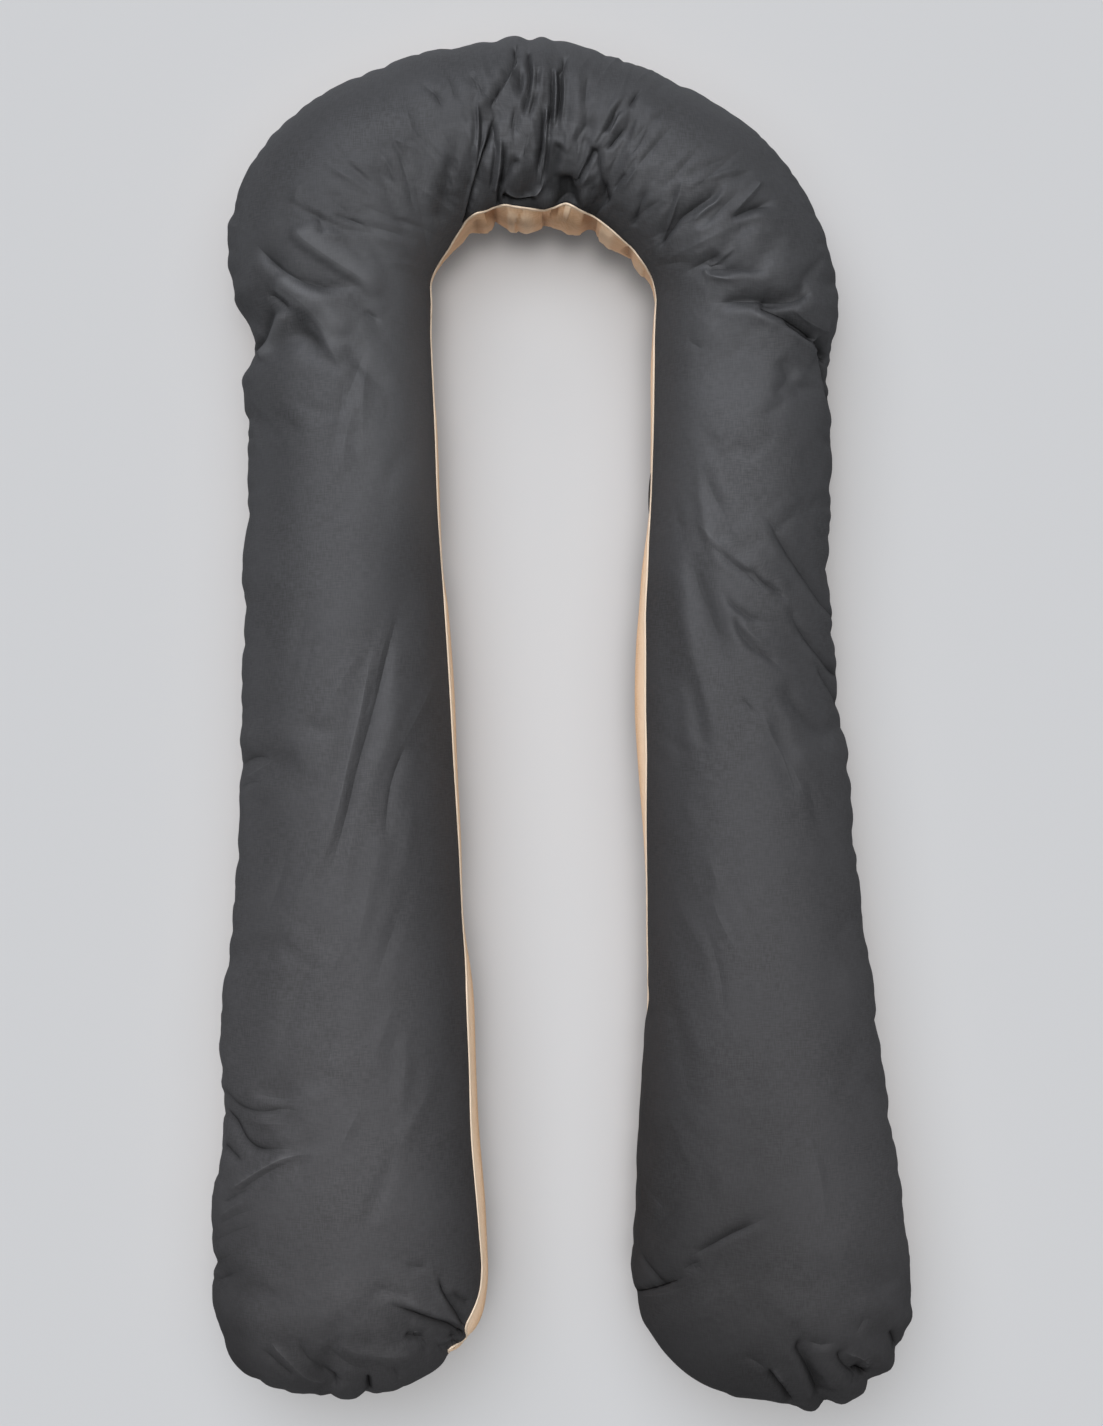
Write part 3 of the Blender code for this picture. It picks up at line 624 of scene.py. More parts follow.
# The creases between the soft folds. A row says half the crease's width, its depth (a ridge
# where that is negative) and how high the cloth rolls over it on the left of its line (on
# the right where that is negative), in tenths of a millimetre; the shares of its length
# that it fades in and out over; and the places along its line, from above, in millimetres.
CREASES = (
    # the left shoulder: three ridges, the folds between them and the pinched pocket
    (160, -44, -0.1, 0.2, 0.3, -260, 485, -254, 472, -240, 460, -218, 445, -197, 432, -185, 422,
     -171, 411),
    (104, 39, -12, 0.2, 0.35, -301, 470, -283, 449, -261, 433, -240, 424, -218, 422, -190, 425),
    (208, -44, -0.1, 0.15, 0.35, -283, 426, -269, 421, -254, 409, -240, 395, -228, 380, -216, 364,
     -209, 349),
    (96, -36, -0.1, 0.25, 0, -268, 403, -277, 395, -283, 383, -291, 372, -300, 365),
    (64, 50, 0, 0.25, 0, -282, 412, -289, 395, -296, 380, -306, 371),
    (27, 45, 0, 0.3, 0.4, -288, 418, -281, 416, -270, 407, -262, 397),
    (120, 46, 0, 0.3, 0.4, -266, 402, -253, 387, -239, 370, -228, 354),
    (56, -8, 0, 0.3, 0.4, -240, 388, -229, 371, -218, 352, -210, 339),
    (34, 15, 0, 0.3, 0.3, -314, 505, -320, 485, -326, 463),
    (24, 13, 0, 0.3, 0.3, -223, 492, -206, 487, -187, 480),
    (23, 18, 0, 0.35, 0.35, -193, 402, -185, 397, -176, 391),
    (34, 14, 0, 0.35, 0.35, -238, 495, -233, 481, -232, 469),
    (41, -10, 0, 0.35, 0.35, -253, 524, -257, 514, -259, 501),
    # the bend, left of the gathers
    (72, 14, 0, 0.3, 0.35, -187, 547, -173, 527, -164, 503, -154, 480, -144, 458),
    (24, -12, 0, 0.35, 0.35, -176, 552, -167, 537, -161, 518),
    (34, 10, 0, 0.3, 0.35, -159, 553, -150, 525, -142, 489),
    (56, 15, 0, 0.3, 0.35, -145, 536, -139, 506, -132, 468, -133, 440),
    (80, 32, 0, 0.4, 0.15, -104, 582, -102, 555, -109, 530, -116, 506, -122, 486),
    (34, 15, 0, 0.35, 0.35, -129, 621, -120, 605, -114, 591),
    (34, -12, 0, 0.35, 0.35, -112, 629, -107, 613, -104, 598),
    (56, -12, 0, 0.35, 0.35, -153, 604, -147, 580, -144, 557),
    # the gathers round the middle of the bend, from left to right
    (24, 62, -20, 0.3, 0, -63, 592, -69, 579, -73, 565, -80, 545, -85, 531, -89, 518, -94, 503,
     -98, 495),
    (31, -30, -0.1, 0.1, 0.2, -44, 653, -44, 644, -50, 630, -55, 620, -63, 606, -69, 594),
    (37, 42, 0, 0, 0.2, -47, 664, -47, 646, -56, 624, -65, 608, -71, 594),
    (19, -40, 0, 0.1, 0.3, -7, 638, -6, 616, -7, 593, -9, 574),
    (15, 40, 0, 0.15, 0.4, -10, 640, -10, 620, -10, 602, -11, 589, -12, 580),
    (15, 36, 0, 0.15, 0.4, -3, 639, -2, 621, -2, 606, -4, 588, -5, 579),
    (24, 50, 8, 0.2, 0.35, -17, 600, -19, 579, -20, 563, -23, 545, -24, 536),
    (18, -28, 0, 0.1, 0.25, -15, 602, -15, 580, -17, 558, -20, 537, -23, 525),
    (22, -34, 0, 0.12, 0.2, -57, 521, -51, 517, -43, 515, -35, 517, -27, 519, -20, 525, -17, 535),
    (56, 60, -2, 0.1, 0.2, -59, 517, -49, 513, -37, 513, -23, 514),
    (19, 40, 0, 0.2, 0, -57, 566, -56, 548, -58, 533, -61, 520, -62, 511),
    (22, -28, 0, 0.08, 0.2, -60, 568, -60, 556, -62, 536, -65, 524, -68, 519),
    (19, 36, 0, 0.2, 0.3, -64, 565, -65, 547, -68, 529, -71, 517),
    (27, 26, 0, 0.3, 0.35, -69, 586, -66, 571, -66, 555),
    (76, 60, 0, 0.15, 0.2, 0, 562, -6, 554, -9, 541, -12, 525, -15, 512),
    (88, 75, 0, 0.3, 0, 3, 538, 4, 523, 4, 507),
    (72, 35, 0, 0.3, 0, 6, 534, 7, 522, 8, 508),
    (27, 44, 0, 0.1, 0.2, 31, 559, 28, 551, 23, 542, 17, 532, 13, 526),
    (34, 34, 0, 0.1, 0.1, 32, 559, 35, 549, 36, 540, 38, 529, 42, 518, 44, 506),
    (20, -20, 0, 0.2, 0.1, 27, 557, 21, 543, 15, 532, 12, 530),
    (120, 34, 0, 0.3, 0.05, 21, 529, 29, 519, 40, 505),
    (34, 28, 0, 0.3, 0.4, -41, 643, -41, 624, -40, 604),
    (23, 44, 0, 0.05, 0.3, -33, 660, -33, 642, -32, 627, -34, 611, -37, 595, -39, 585),
    (22, -18, 0, 0.2, 0.4, -28, 649, -28, 629, -30, 612, -34, 594),
    (22, 26, 0, 0.3, 0.4, -24, 636, -24, 627, -24, 617),
    (30, 32, 0, 0.3, 0.4, -24, 613, -30, 597, -33, 581),
    (18, 24, 0, 0.2, 0.2, -12, 596, -13, 579, -14, 560, -17, 540, -19, 528),
    (16, -20, 0, 0.25, 0.35, 1, 639, 2, 618, 1, 596, -1, 578),
    (37, 44, 0, 0.2, 0.2, -41, 548, -49, 541, -55, 531, -59, 523),
    (41, 18, 0, 0.3, 0.4, -45, 602, -48, 583, -51, 564),
    (41, 16, 0, 0.3, 0.4, -31, 576, -35, 559, -38, 546),
    (23, -20, 0, 0.3, 0.3, 10, 534, 11, 521),
    (72, 30, 0, 0.3, 0.35, 34, 591, 26, 578, 20, 566, 18, 553),
    (26, 34, 0, 0.3, 0.3, 54, 599, 48, 583, 39, 569),
    (24, 34, 0, 0.3, 0.3, 61, 577, 51, 565, 43, 555),
    (20, -16, 0, 0.3, 0.3, 57, 595, 51, 581, 43, 567),
    (52, 18, 0, 0.2, 0.35, -89, 632, -83, 624, -78, 612, -77, 604),
    (18, -18, 0, 0.1, 0.35, -82, 604, -81, 579, -83, 557, -86, 543),
    (19, 20, 0, 0.25, 0.3, -85, 603, -84, 584, -85, 565, -88, 551),
    (19, 20, 0, 0.25, 0.35, -79, 600, -78, 579, -79, 562, -83, 548),
    (34, -16, 0, 0.3, 0.3, -74, 586, -79, 564, -86, 541, -92, 521),
    (27, 28, 0, 0.2, 0.35, 2, 652, 1, 640, -1, 630),
    (27, 30, 0, 0.3, 0.35, 63, 535, 55, 526, 49, 514),
    (24, 22, 0, 0.35, 0.35, 77, 617, 69, 605, 63, 594),
    (31, 22, 0, 0.35, 0.35, 87, 585, 75, 562, 64, 549),
    (24, -14, 0, 0.35, 0.35, 75, 544, 66, 529, 58, 515),
    (31, 26, 0, 0.4, 0.1, 83, 522, 76, 505, 68, 485),
    # the bend, right of the gathers, and the right shoulder
    (24, -15, 0, 0.3, 0.3, 116, 530, 114, 515, 106, 490, 97, 469),
    (34, 20, 0, 0.3, 0.35, 110, 528, 106, 507, 98, 483, 92, 463),
    (64, 40, -12, 0.2, 0.35, 95, 460, 98, 470, 106, 481, 114, 490, 126, 498, 146, 511, 162, 528),
    (24, -20, 0, 0.25, 0.3, 126, 480, 131, 490, 140, 499, 150, 506, 157, 519),
    (52, 26, 0, 0.3, 0.35, 130, 477, 146, 490, 156, 500, 176, 519),
    (24, -20, 0, 0.3, 0.2, 164, 491, 176, 505, 189, 520, 192, 527),
    (72, 40, -12, 0.25, 0.35, 162, 488, 172, 493, 189, 500, 208, 502),
    (80, 36, -10, 0.08, 0.4, 141, 441, 151, 441, 166, 440, 188, 439, 204, 436),
    (24, -14, 0, 0.2, 0.1, 167, 461, 162, 456, 151, 448, 141, 442),
    (56, 28, 0, 0.25, 0.4, 156, 456, 142, 450, 131, 445, 113, 436),
    (20, -18, 0, 0.1, 0.4, 139, 442, 142, 436, 156, 431, 173, 430),
    (96, 38, -13, 0.3, 0.12, 137, 407, 161, 409, 188, 409, 216, 409, 233, 413, 244, 422),
    (80, 66, -20, 0.06, 0.1, 190, 404, 204, 398, 220, 392, 236, 384, 252, 376),
    (26, 60, 0, 0.2, 0.1, 216, 391, 227, 385, 239, 378, 250, 375),
    (64, 100, -2, 0.15, 0.15, 249, 375, 257, 369, 263, 360),
    (34, 60, 0, 0.2, 0.2, 252, 367, 258, 363, 260, 358),
    (41, -22, 0, 0.25, 0.05, 222, 403, 238, 393, 254, 387, 266, 386),
    (56, 40, -10, 0.1, 0.3, 254, 359, 260, 346, 263, 330, 266, 317, 266, 300),
    (64, 24, 0, 0.25, 0.25, 211, 354, 216, 344, 220, 336, 212, 325, 203, 320),
    (56, 10, 0, 0.3, 0.3, 224, 339, 230, 325, 232, 312),
    (41, 10, 0, 0.3, 0.3, 121, 375, 137, 364),
    # the drag folds down the left leg
    (41, -17, 0, 0.3, 0.35, -176, 100, -188, 53, -196, 11, -206, -31, -215, -74, -225, -114,
     -239, -166),
    (112, 29, -5, 0.3, 0.35, -153, 134, -166, 83, -176, 38, -186, -1, -198, -43, -208, -85,
     -219, -124, -232, -170),
    (64, 22, -2, 0.3, 0.4, -150, -16, -158, -37, -166, -62, -170, -93, -173, -124),
    (80, -13, 0, 0.4, 0.4, -156, 71, -162, 16, -172, -22, -185, -58, -194, -96),
    (72, -10, 0, 0.4, 0.4, -142, -65, -150, -103, -155, -152),
    (72, 12, 0, 0.4, 0.4, -203, 23, -214, -35, -228, -93),
    (34, 26, 0, 0.15, 0.4, -321, -43, -307, -35, -294, -33, -281, -38),
    (23, -16, 0, 0.2, 0.2, -279, -35, -296, -45, -316, -55),
    (27, 26, 0, 0.1, 0.4, -320, -64, -306, -58, -293, -59),
    (20, -14, 0, 0.3, 0.3, -306, -61, -313, -74),
    (64, 9, 0, 0.35, 0.35, -253, 1, -238, -7, -226, -10),
    # the end of the left leg
    (37, 34, 0, 0.1, 0.4, -336, -359, -319, -373, -295, -377, -270, -373, -249, -376),
    (41, 50, 0, 0.1, 0.4, -334, -381, -322, -391, -312, -405, -298, -413, -276, -412, -256, -411),
    (27, -15, 0, 0.3, 0.4, -312, -385, -291, -388, -262, -388),
    (27, 16, 0, 0.3, 0.4, -302, -360, -277, -363, -252, -363),
    (37, 44, 0, 0.1, 0.4, -336, -415, -323, -423, -310, -431),
    (31, -28, 0, 0.15, 0.4, -328, -459, -304, -441, -282, -427, -261, -418, -232, -414),
    (27, 30, 0, 0.2, 0.4, -319, -459, -301, -445, -280, -432, -259, -422),
    (30, 34, 0, 0.1, 0.4, -334, -470, -317, -459, -305, -453),
    (30, -16, 0, 0.1, 0.4, -336, -484, -318, -470, -296, -459),
    (30, 18, 0, 0.1, 0.4, -338, -493, -317, -479, -290, -468),
    (30, 18, 0, 0, 0.5, -342, -510, -317, -494, -290, -485),
    (27, 20, 0, 0, 0.5, -341, -532, -321, -517),
    (27, 20, 0, 0, 0.5, -340, -552, -317, -536),
    (56, 54, -14, 0.3, 0.05, -121, -533, -115, -550, -108, -565, -101, -578, -95, -596),
    (64, 66, 18, 0.4, 0, -176, -559, -150, -569, -125, -581, -109, -589, -95, -603),
    (52, 36, 0, 0.3, 0.2, -105, -552, -97, -563, -88, -570),
    (52, 42, 0, 0.25, 0.2, -154, -594, -144, -599, -132, -601),
    (64, 16, 0, 0.3, 0.3, -183, -545, -161, -551, -142, -559),
    (41, -22, 0, 0.25, 0.1, -285, -597, -276, -608, -263, -622, -247, -639, -229, -648),
    (41, 32, 0, 0.3, 0.05, -258, -592, -251, -614, -232, -633, -213, -646),
    (64, -20, 0, 0.3, 0.3, -226, -595, -197, -610, -163, -615, -127, -616),
    (41, 20, 0, 0.3, 0.3, -231, -603, -207, -624, -184, -634),
    (34, 30, 0, 0.3, 0.05, -295, -607, -278, -625, -264, -638),
    (30, 64, 0, 0.5, 0, -190, -633, -189, -646, -189, -659),
    (30, 34, 0, 0.5, 0, -223, -632, -223, -649),
    (30, 26, 0, 0.5, 0, -165, -625, -160, -643),
    (27, 32, 0, 0.3, 0.1, -125, -612, -108, -613),
    (22, 40, 0, 0.2, 0.05, -107, -597, -107, -619),
    (27, 18, 0, 0.35, 0.35, -153, -524, -128, -529),
    # the drag folds down the right leg
    (30, 24, 0, 0.35, 0.35, 140, 177, 157, 162, 172, 150, 187, 138, 201, 123),
    (31, -7, 0, 0.3, 0.3, 128, 203, 139, 187, 158, 169, 179, 152, 199, 135),
    (30, 36, 0, 0.15, 0.35, 182, 153, 193, 139, 208, 129, 224, 116),
    (88, 38, -14, 0.35, 0.05, 197, 204, 204, 191, 219, 167, 241, 138, 259, 116, 274, 104),
    (30, 25, 0, 0.3, 0.35, 152, 132, 165, 115, 175, 107, 188, 100, 209, 96),
    (33, 28, 0, 0.12, 0.35, 167, 104, 172, 88, 185, 73, 203, 62, 220, 47),
    (27, -14, 0, 0.3, 0.3, 174, 100, 183, 86, 201, 76),
    (72, 40, -13, 0.3, 0.05, 215, 121, 232, 92, 246, 74, 263, 56, 275, 46),
    (56, 36, -12, 0.25, 0.05, 244, 66, 258, 43, 270, 26, 278, 11),
    (72, 28, 0, 0.3, 0.25, 213, 41, 223, 23, 240, 2, 264, -19),
    (56, -20, 0, 0.3, 0.4, 188, 26, 201, -8, 217, -41, 227, -74),
    (88, 28, 0, 0.3, 0.4, 199, 9, 210, -18, 222, -50, 231, -76),
    (41, 12, 0, 0.3, 0.3, 173, 25, 180, 17, 187, 6),
    (88, -13, 0, 0.3, 0.4, 112, 195, 122, 123, 129, 61, 142, 10, 150, -54),
    (104, 34, 0, 0.3, 0.4, 119, 179, 133, 129, 150, 86, 163, 32),
    (80, 18, 0, 0.35, 0.4, 118, 81, 131, 5, 139, -45),
    (88, 14, 0, 0.35, 0.4, 100, 160, 103, 81, 113, -16, 124, -114),
    (41, 12, 0, 0.3, 0.1, 247, 199, 259, 180, 267, 169),
    # the end of the right leg
    (37, 74, -13, 0, 0.45, 69, -568, 77, -562, 91, -554, 99, -549, 114, -541, 131, -533),
    (41, -16, 0, 0.1, 0.4, 75, -569, 99, -559, 124, -547, 150, -532),
    (31, 38, 0, 0.3, 0.1, 78, -520, 80, -528, 88, -538, 97, -549),
    (27, 30, 0, 0.3, 0.3, 116, -532, 124, -525, 135, -521),
    (64, 38, -10, 0.25, 0.4, 121, -519, 141, -505, 161, -493, 180, -484, 203, -473),
    (41, 14, 0, 0.3, 0.4, 78, -451, 91, -466, 103, -478),
    (41, 14, 0, 0.3, 0.4, 77, -514, 95, -489, 117, -470),
    (33, 90, 14, 0.25, 0, 199, -626, 206, -637, 214, -649, 225, -666),
    (31, -24, 0, 0.3, 0.2, 204, -624, 217, -642),
    (34, 24, 0, 0.4, 0.2, 174, -613, 187, -620, 198, -628),
    (64, 48, -14, 0.2, 0, 231, -593, 227, -605, 232, -616, 241, -633, 251, -657),
    (34, 24, 0, 0.2, 0.35, 237, -597, 251, -602, 262, -600),
    (37, 48, 0, 0.25, 0.1, 268, -606, 272, -622, 288, -639),
    (37, 90, 0, 0.25, 0.2, 284, -627, 291, -634, 301, -640),
    (22, -30, 0, 0.15, 0.15, 275, -611, 288, -616, 297, -624, 291, -631),
    (34, 56, 0, 0.35, 0, 322, -592, 327, -605, 330, -615),
    (41, 18, 0, 0.3, 0.3, 284, -595, 291, -584, 296, -574),
    (34, 18, 0, 0.4, 0.1, 254, -625, 261, -639, 267, -656),
)
# The notches that folds cut into the outline, where they run over the side: half width,
# depth and line.
EDGE_CREASES = (
    (50, 15, -66, 695, -65, 679, -63, 648), (100, -22, -50, 702, -50, 686, -51, 654),
    (70, 22, -33, 697, -33, 681, -34, 648), (100, -16, -21, 699, -21, 684, -22, 654),
    (50, 15, 44, 683, 39, 667, 27, 634), (40, 20, 79, 670, 74, 655, 63, 626),
    (50, 20, -343, 527, -334, 518, -313, 502), (50, 40, -319, 386, -309, 379, -286, 366),
    (80, -20, -330, 342, -321, 340, -300, 338), (60, -15, -335, 499, -327, 492, -308, 480),
    (40, 40, 281, 356, 271, 355, 249, 356), (50, -20, 281, 377, 273, 374, 254, 372),
    (40, 30, 277, 155, 268, 154, 246, 155), (40, 20, 284, 67, 275, 68, 254, 72),
    (40, 15, 293, -7, 284, -5, 262, 1), (40, 20, -327, 132, -319, 131, -300, 131),
    (40, 20, -331, 1, -322, 1, -302, 1), (40, 25, -334, -44, -325, -42, -304, -38),
    (40, 15, -340, -110, -331, -107, -310, -101), (40, 20, -347, -389, -338, -383, -318, -374),
    (40, 25, -348, -429, -339, -423, -318, -413), (50, -15, -359, -474, -350, -468, -329, -458),
    (40, 20, -356, -548, -347, -540, -328, -527), (50, 35, -233, -685, -230, -669, -227, -638),
    (50, 60, -196, -682, -194, -666, -193, -634), (60, -15, -215, -688, -212, -673, -209, -646),
    (50, 15, -266, -681, -263, -667, -259, -642), (40, 15, -307, -669, -301, -655, -288, -630),
    (40, 15, -158, -674, -158, -660, -162, -634), (60, 60, 266, -694, 261, -677, 251, -644),
    (80, -20, 243, -702, 238, -687, 232, -658), (50, 60, 317, -672, 309, -659, 292, -636),
    (40, 40, 346, -637, 337, -626, 317, -608), (40, 30, 229, -694, 224, -678, 215, -648),
    (50, 15, 163, -679, 161, -665, 161, -638), (80, -20, 287, -696, 282, -681, 272, -652),
    (50, 15, 355, -618, 346, -608, 325, -592), (50, 25, 67, -576, 71, -569, 85, -559),
    (50, 10, 68, -524, 72, -518, 85, -510),
)
# The creases in the back panel's strip under the bend, where its edge is gathered.
BACK_CREASES = (
    (60, 24, 0, 0.2, 0.2, -85, 499, -83, 494, -85, 488),
    (70, 40, 0, 0.1, 0.3, -77, 503, -70, 505, -63, 506),
    (50, 24, 0, 0.1, 0, -64, 510, -66, 508, -66, 502),
    (70, -28, 0, 0.2, 0.2, -56, 502, -50, 501, -46, 498),
    (90, -24, 0, 0.1, 0.1, -40, 504, -36, 500, -34, 492),
    (50, 25.6, 0, 0.3, 0, -21, 502, -18, 501, -16, 492),
    (70, 48, 0, 0.1, 0.3, -9, 510, -7, 509, -2, 508),
    (80, -36, 0, 0.15, 0.2, 2, 509, 6, 508, 10, 506),
    (70, 40, 0, 0.1, 0.2, 20, 502, 27, 500, 36, 499),
    (60, 24, 0, 0.1, 0, 24, 494, 26, 492, 24, 486),
    (80, -24, 0, 0.2, 0.2, 37, 493, 46, 490, 55, 485),
    (80, -16, 0, 0, 0, 50, 485, 42, 479, 35, 474),
    (60, 32, 0, 0, 0, 64, 473, 63, 468, 57, 461),
    (70, -20, 0, 0, 0, 82, 453, 78, 452, 69, 447),
)
EDGE_FADE = 0.8  # the share of its length that a notch fades out over, inwards

Crease = namedtuple("Crease", "line width depth lip fade_in fade_out")


def crease_of(width, depth, lip, fade_in, fade_out, *stops):
    """A crease from its row in the tables, in metres."""
    sizes = (tenths / 10000 for tenths in (width, depth, lip))
    return Crease(np.reshape(stops, (-1, 2)) / 1000, *sizes, fade_in, fade_out)


face_creases = [crease_of(*row) for row in CREASES]
back_creases = [crease_of(*row) for row in BACK_CREASES]
notches = [crease_of(*row[:2], 0, 0, EDGE_FADE, *row[2:]) for row in EDGE_CREASES]


def smooth_line(stops, each=8):
    """Points along a smooth curve through the stops."""
    stops = np.array(stops)
    ends = np.concatenate([[2 * stops[0] - stops[1]], stops, [2 * stops[-1] - stops[-2]]])
    t = np.linspace(0, 1, each, endpoint=False)[:, None]
    found = []
    for a, b, c, d in zip(ends, ends[1:], ends[2:], ends[3:]):
        bow = t**2 * (2 * a - 5 * b + 4 * c - d) + t**3 * (3 * b - 3 * c + d - a)
        found.append(b + (t * (c - a) + bow) / 2)
    return np.concatenate(found + [stops[-1:]])


def beside(crease, reach):
    """The points within reach of a crease: which, how far off on its left, in its
    half widths, the share of the way along it, and the way across it, to the left."""
    line = smooth_line(crease.line)
    start, run = line[:-1], np.diff(line, axis=0)
    margin = reach * crease.width
    low, high = line.min(axis=0) - margin, line.max(axis=0) + margin
    near = np.flatnonzero(((places[:, :2] > low) & (places[:, :2] < high)).all(axis=1))
    off = places[near, None, :2] - start
    along = np.clip((off * run).sum(-1) / (run**2).sum(-1), 0, 1)
    off = off - along[..., None] * run
    away = np.hypot(off[..., 0], off[..., 1])
    nearest = away.argmin(axis=1)
    pick = np.arange(len(near)), nearest
    left = np.column_stack([-run[nearest, 1], run[nearest, 0]])
    left /= np.hypot(*left.T)[:, None]
    across = np.sign((left * off[pick]).sum(1)) * away[pick] / crease.width
    return near, across, (nearest + along[pick]) / len(run), left


PULL, PULL_REACH = 0.45, 2.2  # how far cloth slides towards a crease, in half widths
ROLL, ROLL_AT, ROLL_REACH = 0.16, 2.1, 0.8  # the low rolls on both sides of a crease
LAP_AT, LAP_REACH = 1.0, 0.6  # the roll of a lapped fold, on one side alone
LAP_SLOPE = 0.4  # and its steep wall's width there, in half widths


def faded(crease, share):
    """How much of a crease's depth is there, at shares of its length."""
    fade = smooth_step(share, 0, max(crease.fade_in, 1e-6))
    return fade * smooth_step(1 - share, 0, max(crease.fade_out, 1e-6))


def softness(crease):
    """1 for a wide soft roll of the cloth, 0 for a sharp crease or a lapped fold."""
    return float(abs(crease.lip) < 1e-4) * smooth_step(crease.width, 0.0045, 0.0075)


def drawn_close(crease):
    """How far the cloth's points slide towards a crease, so that its line comes out sharp."""
    slide = np.zeros((len(places), 3))
    near, across, share, left = beside(crease, 5)
    pull = -PULL * across * np.exp(-((across / PULL_REACH) ** 2)) * crease.width
    pull *= faded(crease, share)
    pull *= 1 - softness(crease)
    way = np.column_stack([left, np.zeros(len(near))])
    way -= outward[near] * (outward[near] * way).sum(1)[:, None]
    slide[near] = way * pull[:, None]
    return slide


def pressed(crease):
    """How far a crease lifts each point of the cover, along the way out from its core."""
    lift = np.zeros(len(places))
    near, across, share, _ = beside(crease, 4)
    if crease.lip:
        across = across * np.sign(crease.lip)
        wall = np.where(across > 0, across / LAP_SLOPE, across)
        roll = abs(crease.lip) * np.exp(-(((across - LAP_AT) / LAP_REACH) ** 2))
    else:
        wall = across
        roll = ROLL * crease.depth * np.exp(-(((np.abs(across) - ROLL_AT) / ROLL_REACH) ** 2))
    depth = crease.depth * np.exp(-(np.abs(wall) ** (1.1 + 0.9 * softness(crease))))
    lift[near] = faded(crease, share) * (roll - depth)
    return lift


SLIDE_MOST = 0.0025  # the furthest that a point slides towards its creases, each time

gap = flat[:, 2]
off_seam = 1 - visible * (1 - smooth_step(-gap, 0, 0.006))
# On the bag's sides the face's creases move the cloth up and down, and not sideways.
flatter = outward * smooth_step(outward[:, 2], 0.05, 0.5)[:, None]
flatter[:, 2] = outward[:, 2]
for _ in range(2):
    slide = sum(drawn_close(crease) for crease in face_creases)
    length = np.linalg.norm(slide, axis=1)
    slide *= (np.minimum(length, SLIDE_MOST) / length.clip(1e-6))[:, None]
    places = places + slide * (off_seam * smooth_step(-gap, 0, 0.006))[:, None]
above_floor = smooth_step(places[:, 2], *FOLD_FADE)
raised = sum(pressed(crease) for crease in face_creases) * off_seam * above_floor
moves = flatter * raised[:, None]
lift = sum(pressed(crease) for crease in back_creases) * smooth_step(gap, 0, 0.010)

# Small puckers all along the outer seam, then fine streaks that run in to the bend's seam,
# then faint long drags down both legs, where the filling pulls the cloth along.
STREAKS, DRAGS = 90, 34  # the drags on each leg
rng = np.random.default_rng(7)
edge, middle = (
    np.concatenate([way[LEFT_END + TIP_STEPS // 2 :], way[: RIGHT_END + TIP_STEPS // 2]])
    for way in (columns.edge, columns.centre)
)
way = np.concatenate([[0], np.cumsum(np.hypot(*np.diff(edge, axis=0).T))])
at, puckers = 0.02, []
while at < way[-1]:
    place = np.array([np.interp(at, way, edge[:, k]) for k in (0, 1)])
    towards = np.array([np.interp(at, way, middle[:, k]) for k in (0, 1)]) - place
    towards /= np.hypot(*towards)
    slant = rng.uniform(-0.6, 0.6)
    inwards = towards + slant * np.array([-towards[1], towards[0]])
    length = rng.uniform(0.014, 0.034)
    width, depth = rng.uniform(0.0035, 0.0075), rng.uniform(0.0004, 0.0020)
    line = (place + inwards * length, place + inwards * length / 3, place - towards * 0.012)
    puckers.append(Crease(line, width, depth, 0, 0.7, 0))
    at += rng.uniform(0.010, 0.045)
for _ in range(STREAKS):
    turn = math.radians(rng.uniform(12, 168))
    reach_in = rng.uniform(0.09, 0.20)
    length = rng.uniform(0.03, 0.09)
    slant = rng.uniform(-0.10, 0.10)
    line = [
        (
            BEND_CENTRE[0] + (reach_in + s * length) * math.cos(turn + slant * s),
            BEND_CENTRE[1] + (reach_in + s * length) * math.sin(turn + slant * s),
        )
        for s in (0, 0.5, 1)
    ]
    depth = rng.uniform(0.0005, 0.0018) * rng.choice([-0.7, 1])
    puckers.append(Crease(line, rng.uniform(0.0025, 0.0045), depth, 0, 0.35, 0.45))
for side, lean in ((-0.225, 0.32), (0.200, -0.35)):
    for _ in range(DRAGS):
        x, y = side + rng.uniform(-0.085, 0.085), rng.uniform(-0.50, 0.34)
        slant = lean + rng.uniform(-0.28, 0.22) * (1 if lean > 0 else -1)
        length = rng.uniform(0.025, 0.075)
        bow = rng.uniform(-0.006, 0.006)
        ends = (-slant * length, -length), (bow, 0), (slant * length, length)
        line = [(x + dx, y + dy) for dx, dy in ends]
        depth = rng.uniform(0.0005, 0.0013) * rng.choice([-1, 1])
        puckers.append(Crease(line, rng.uniform(0.0035, 0.0075), depth, 0, 0.5, 0.5))
lift += sum(pressed(crease) for crease in puckers + notches) * off_seam
moves += outward * (lift * above_floor)[:, None]
# Painted shade: close to the seam round the bend's inner side the cloth counts as sunk, which only
# darkens its colour in the shader; its shape stays.
UNLIT_DEPTH, UNLIT_REACH = 0.006, 0.016
arch = np.exp(-((places[:, 0] / 0.085) ** 2)) * smooth_step(places[:, 1], 0.44, 0.49)
unlit_edge = arch * np.exp(-((gap / UNLIT_REACH) ** 2)) * (gap < 0)
raised = raised + lift - UNLIT_DEPTH * unlit_edge

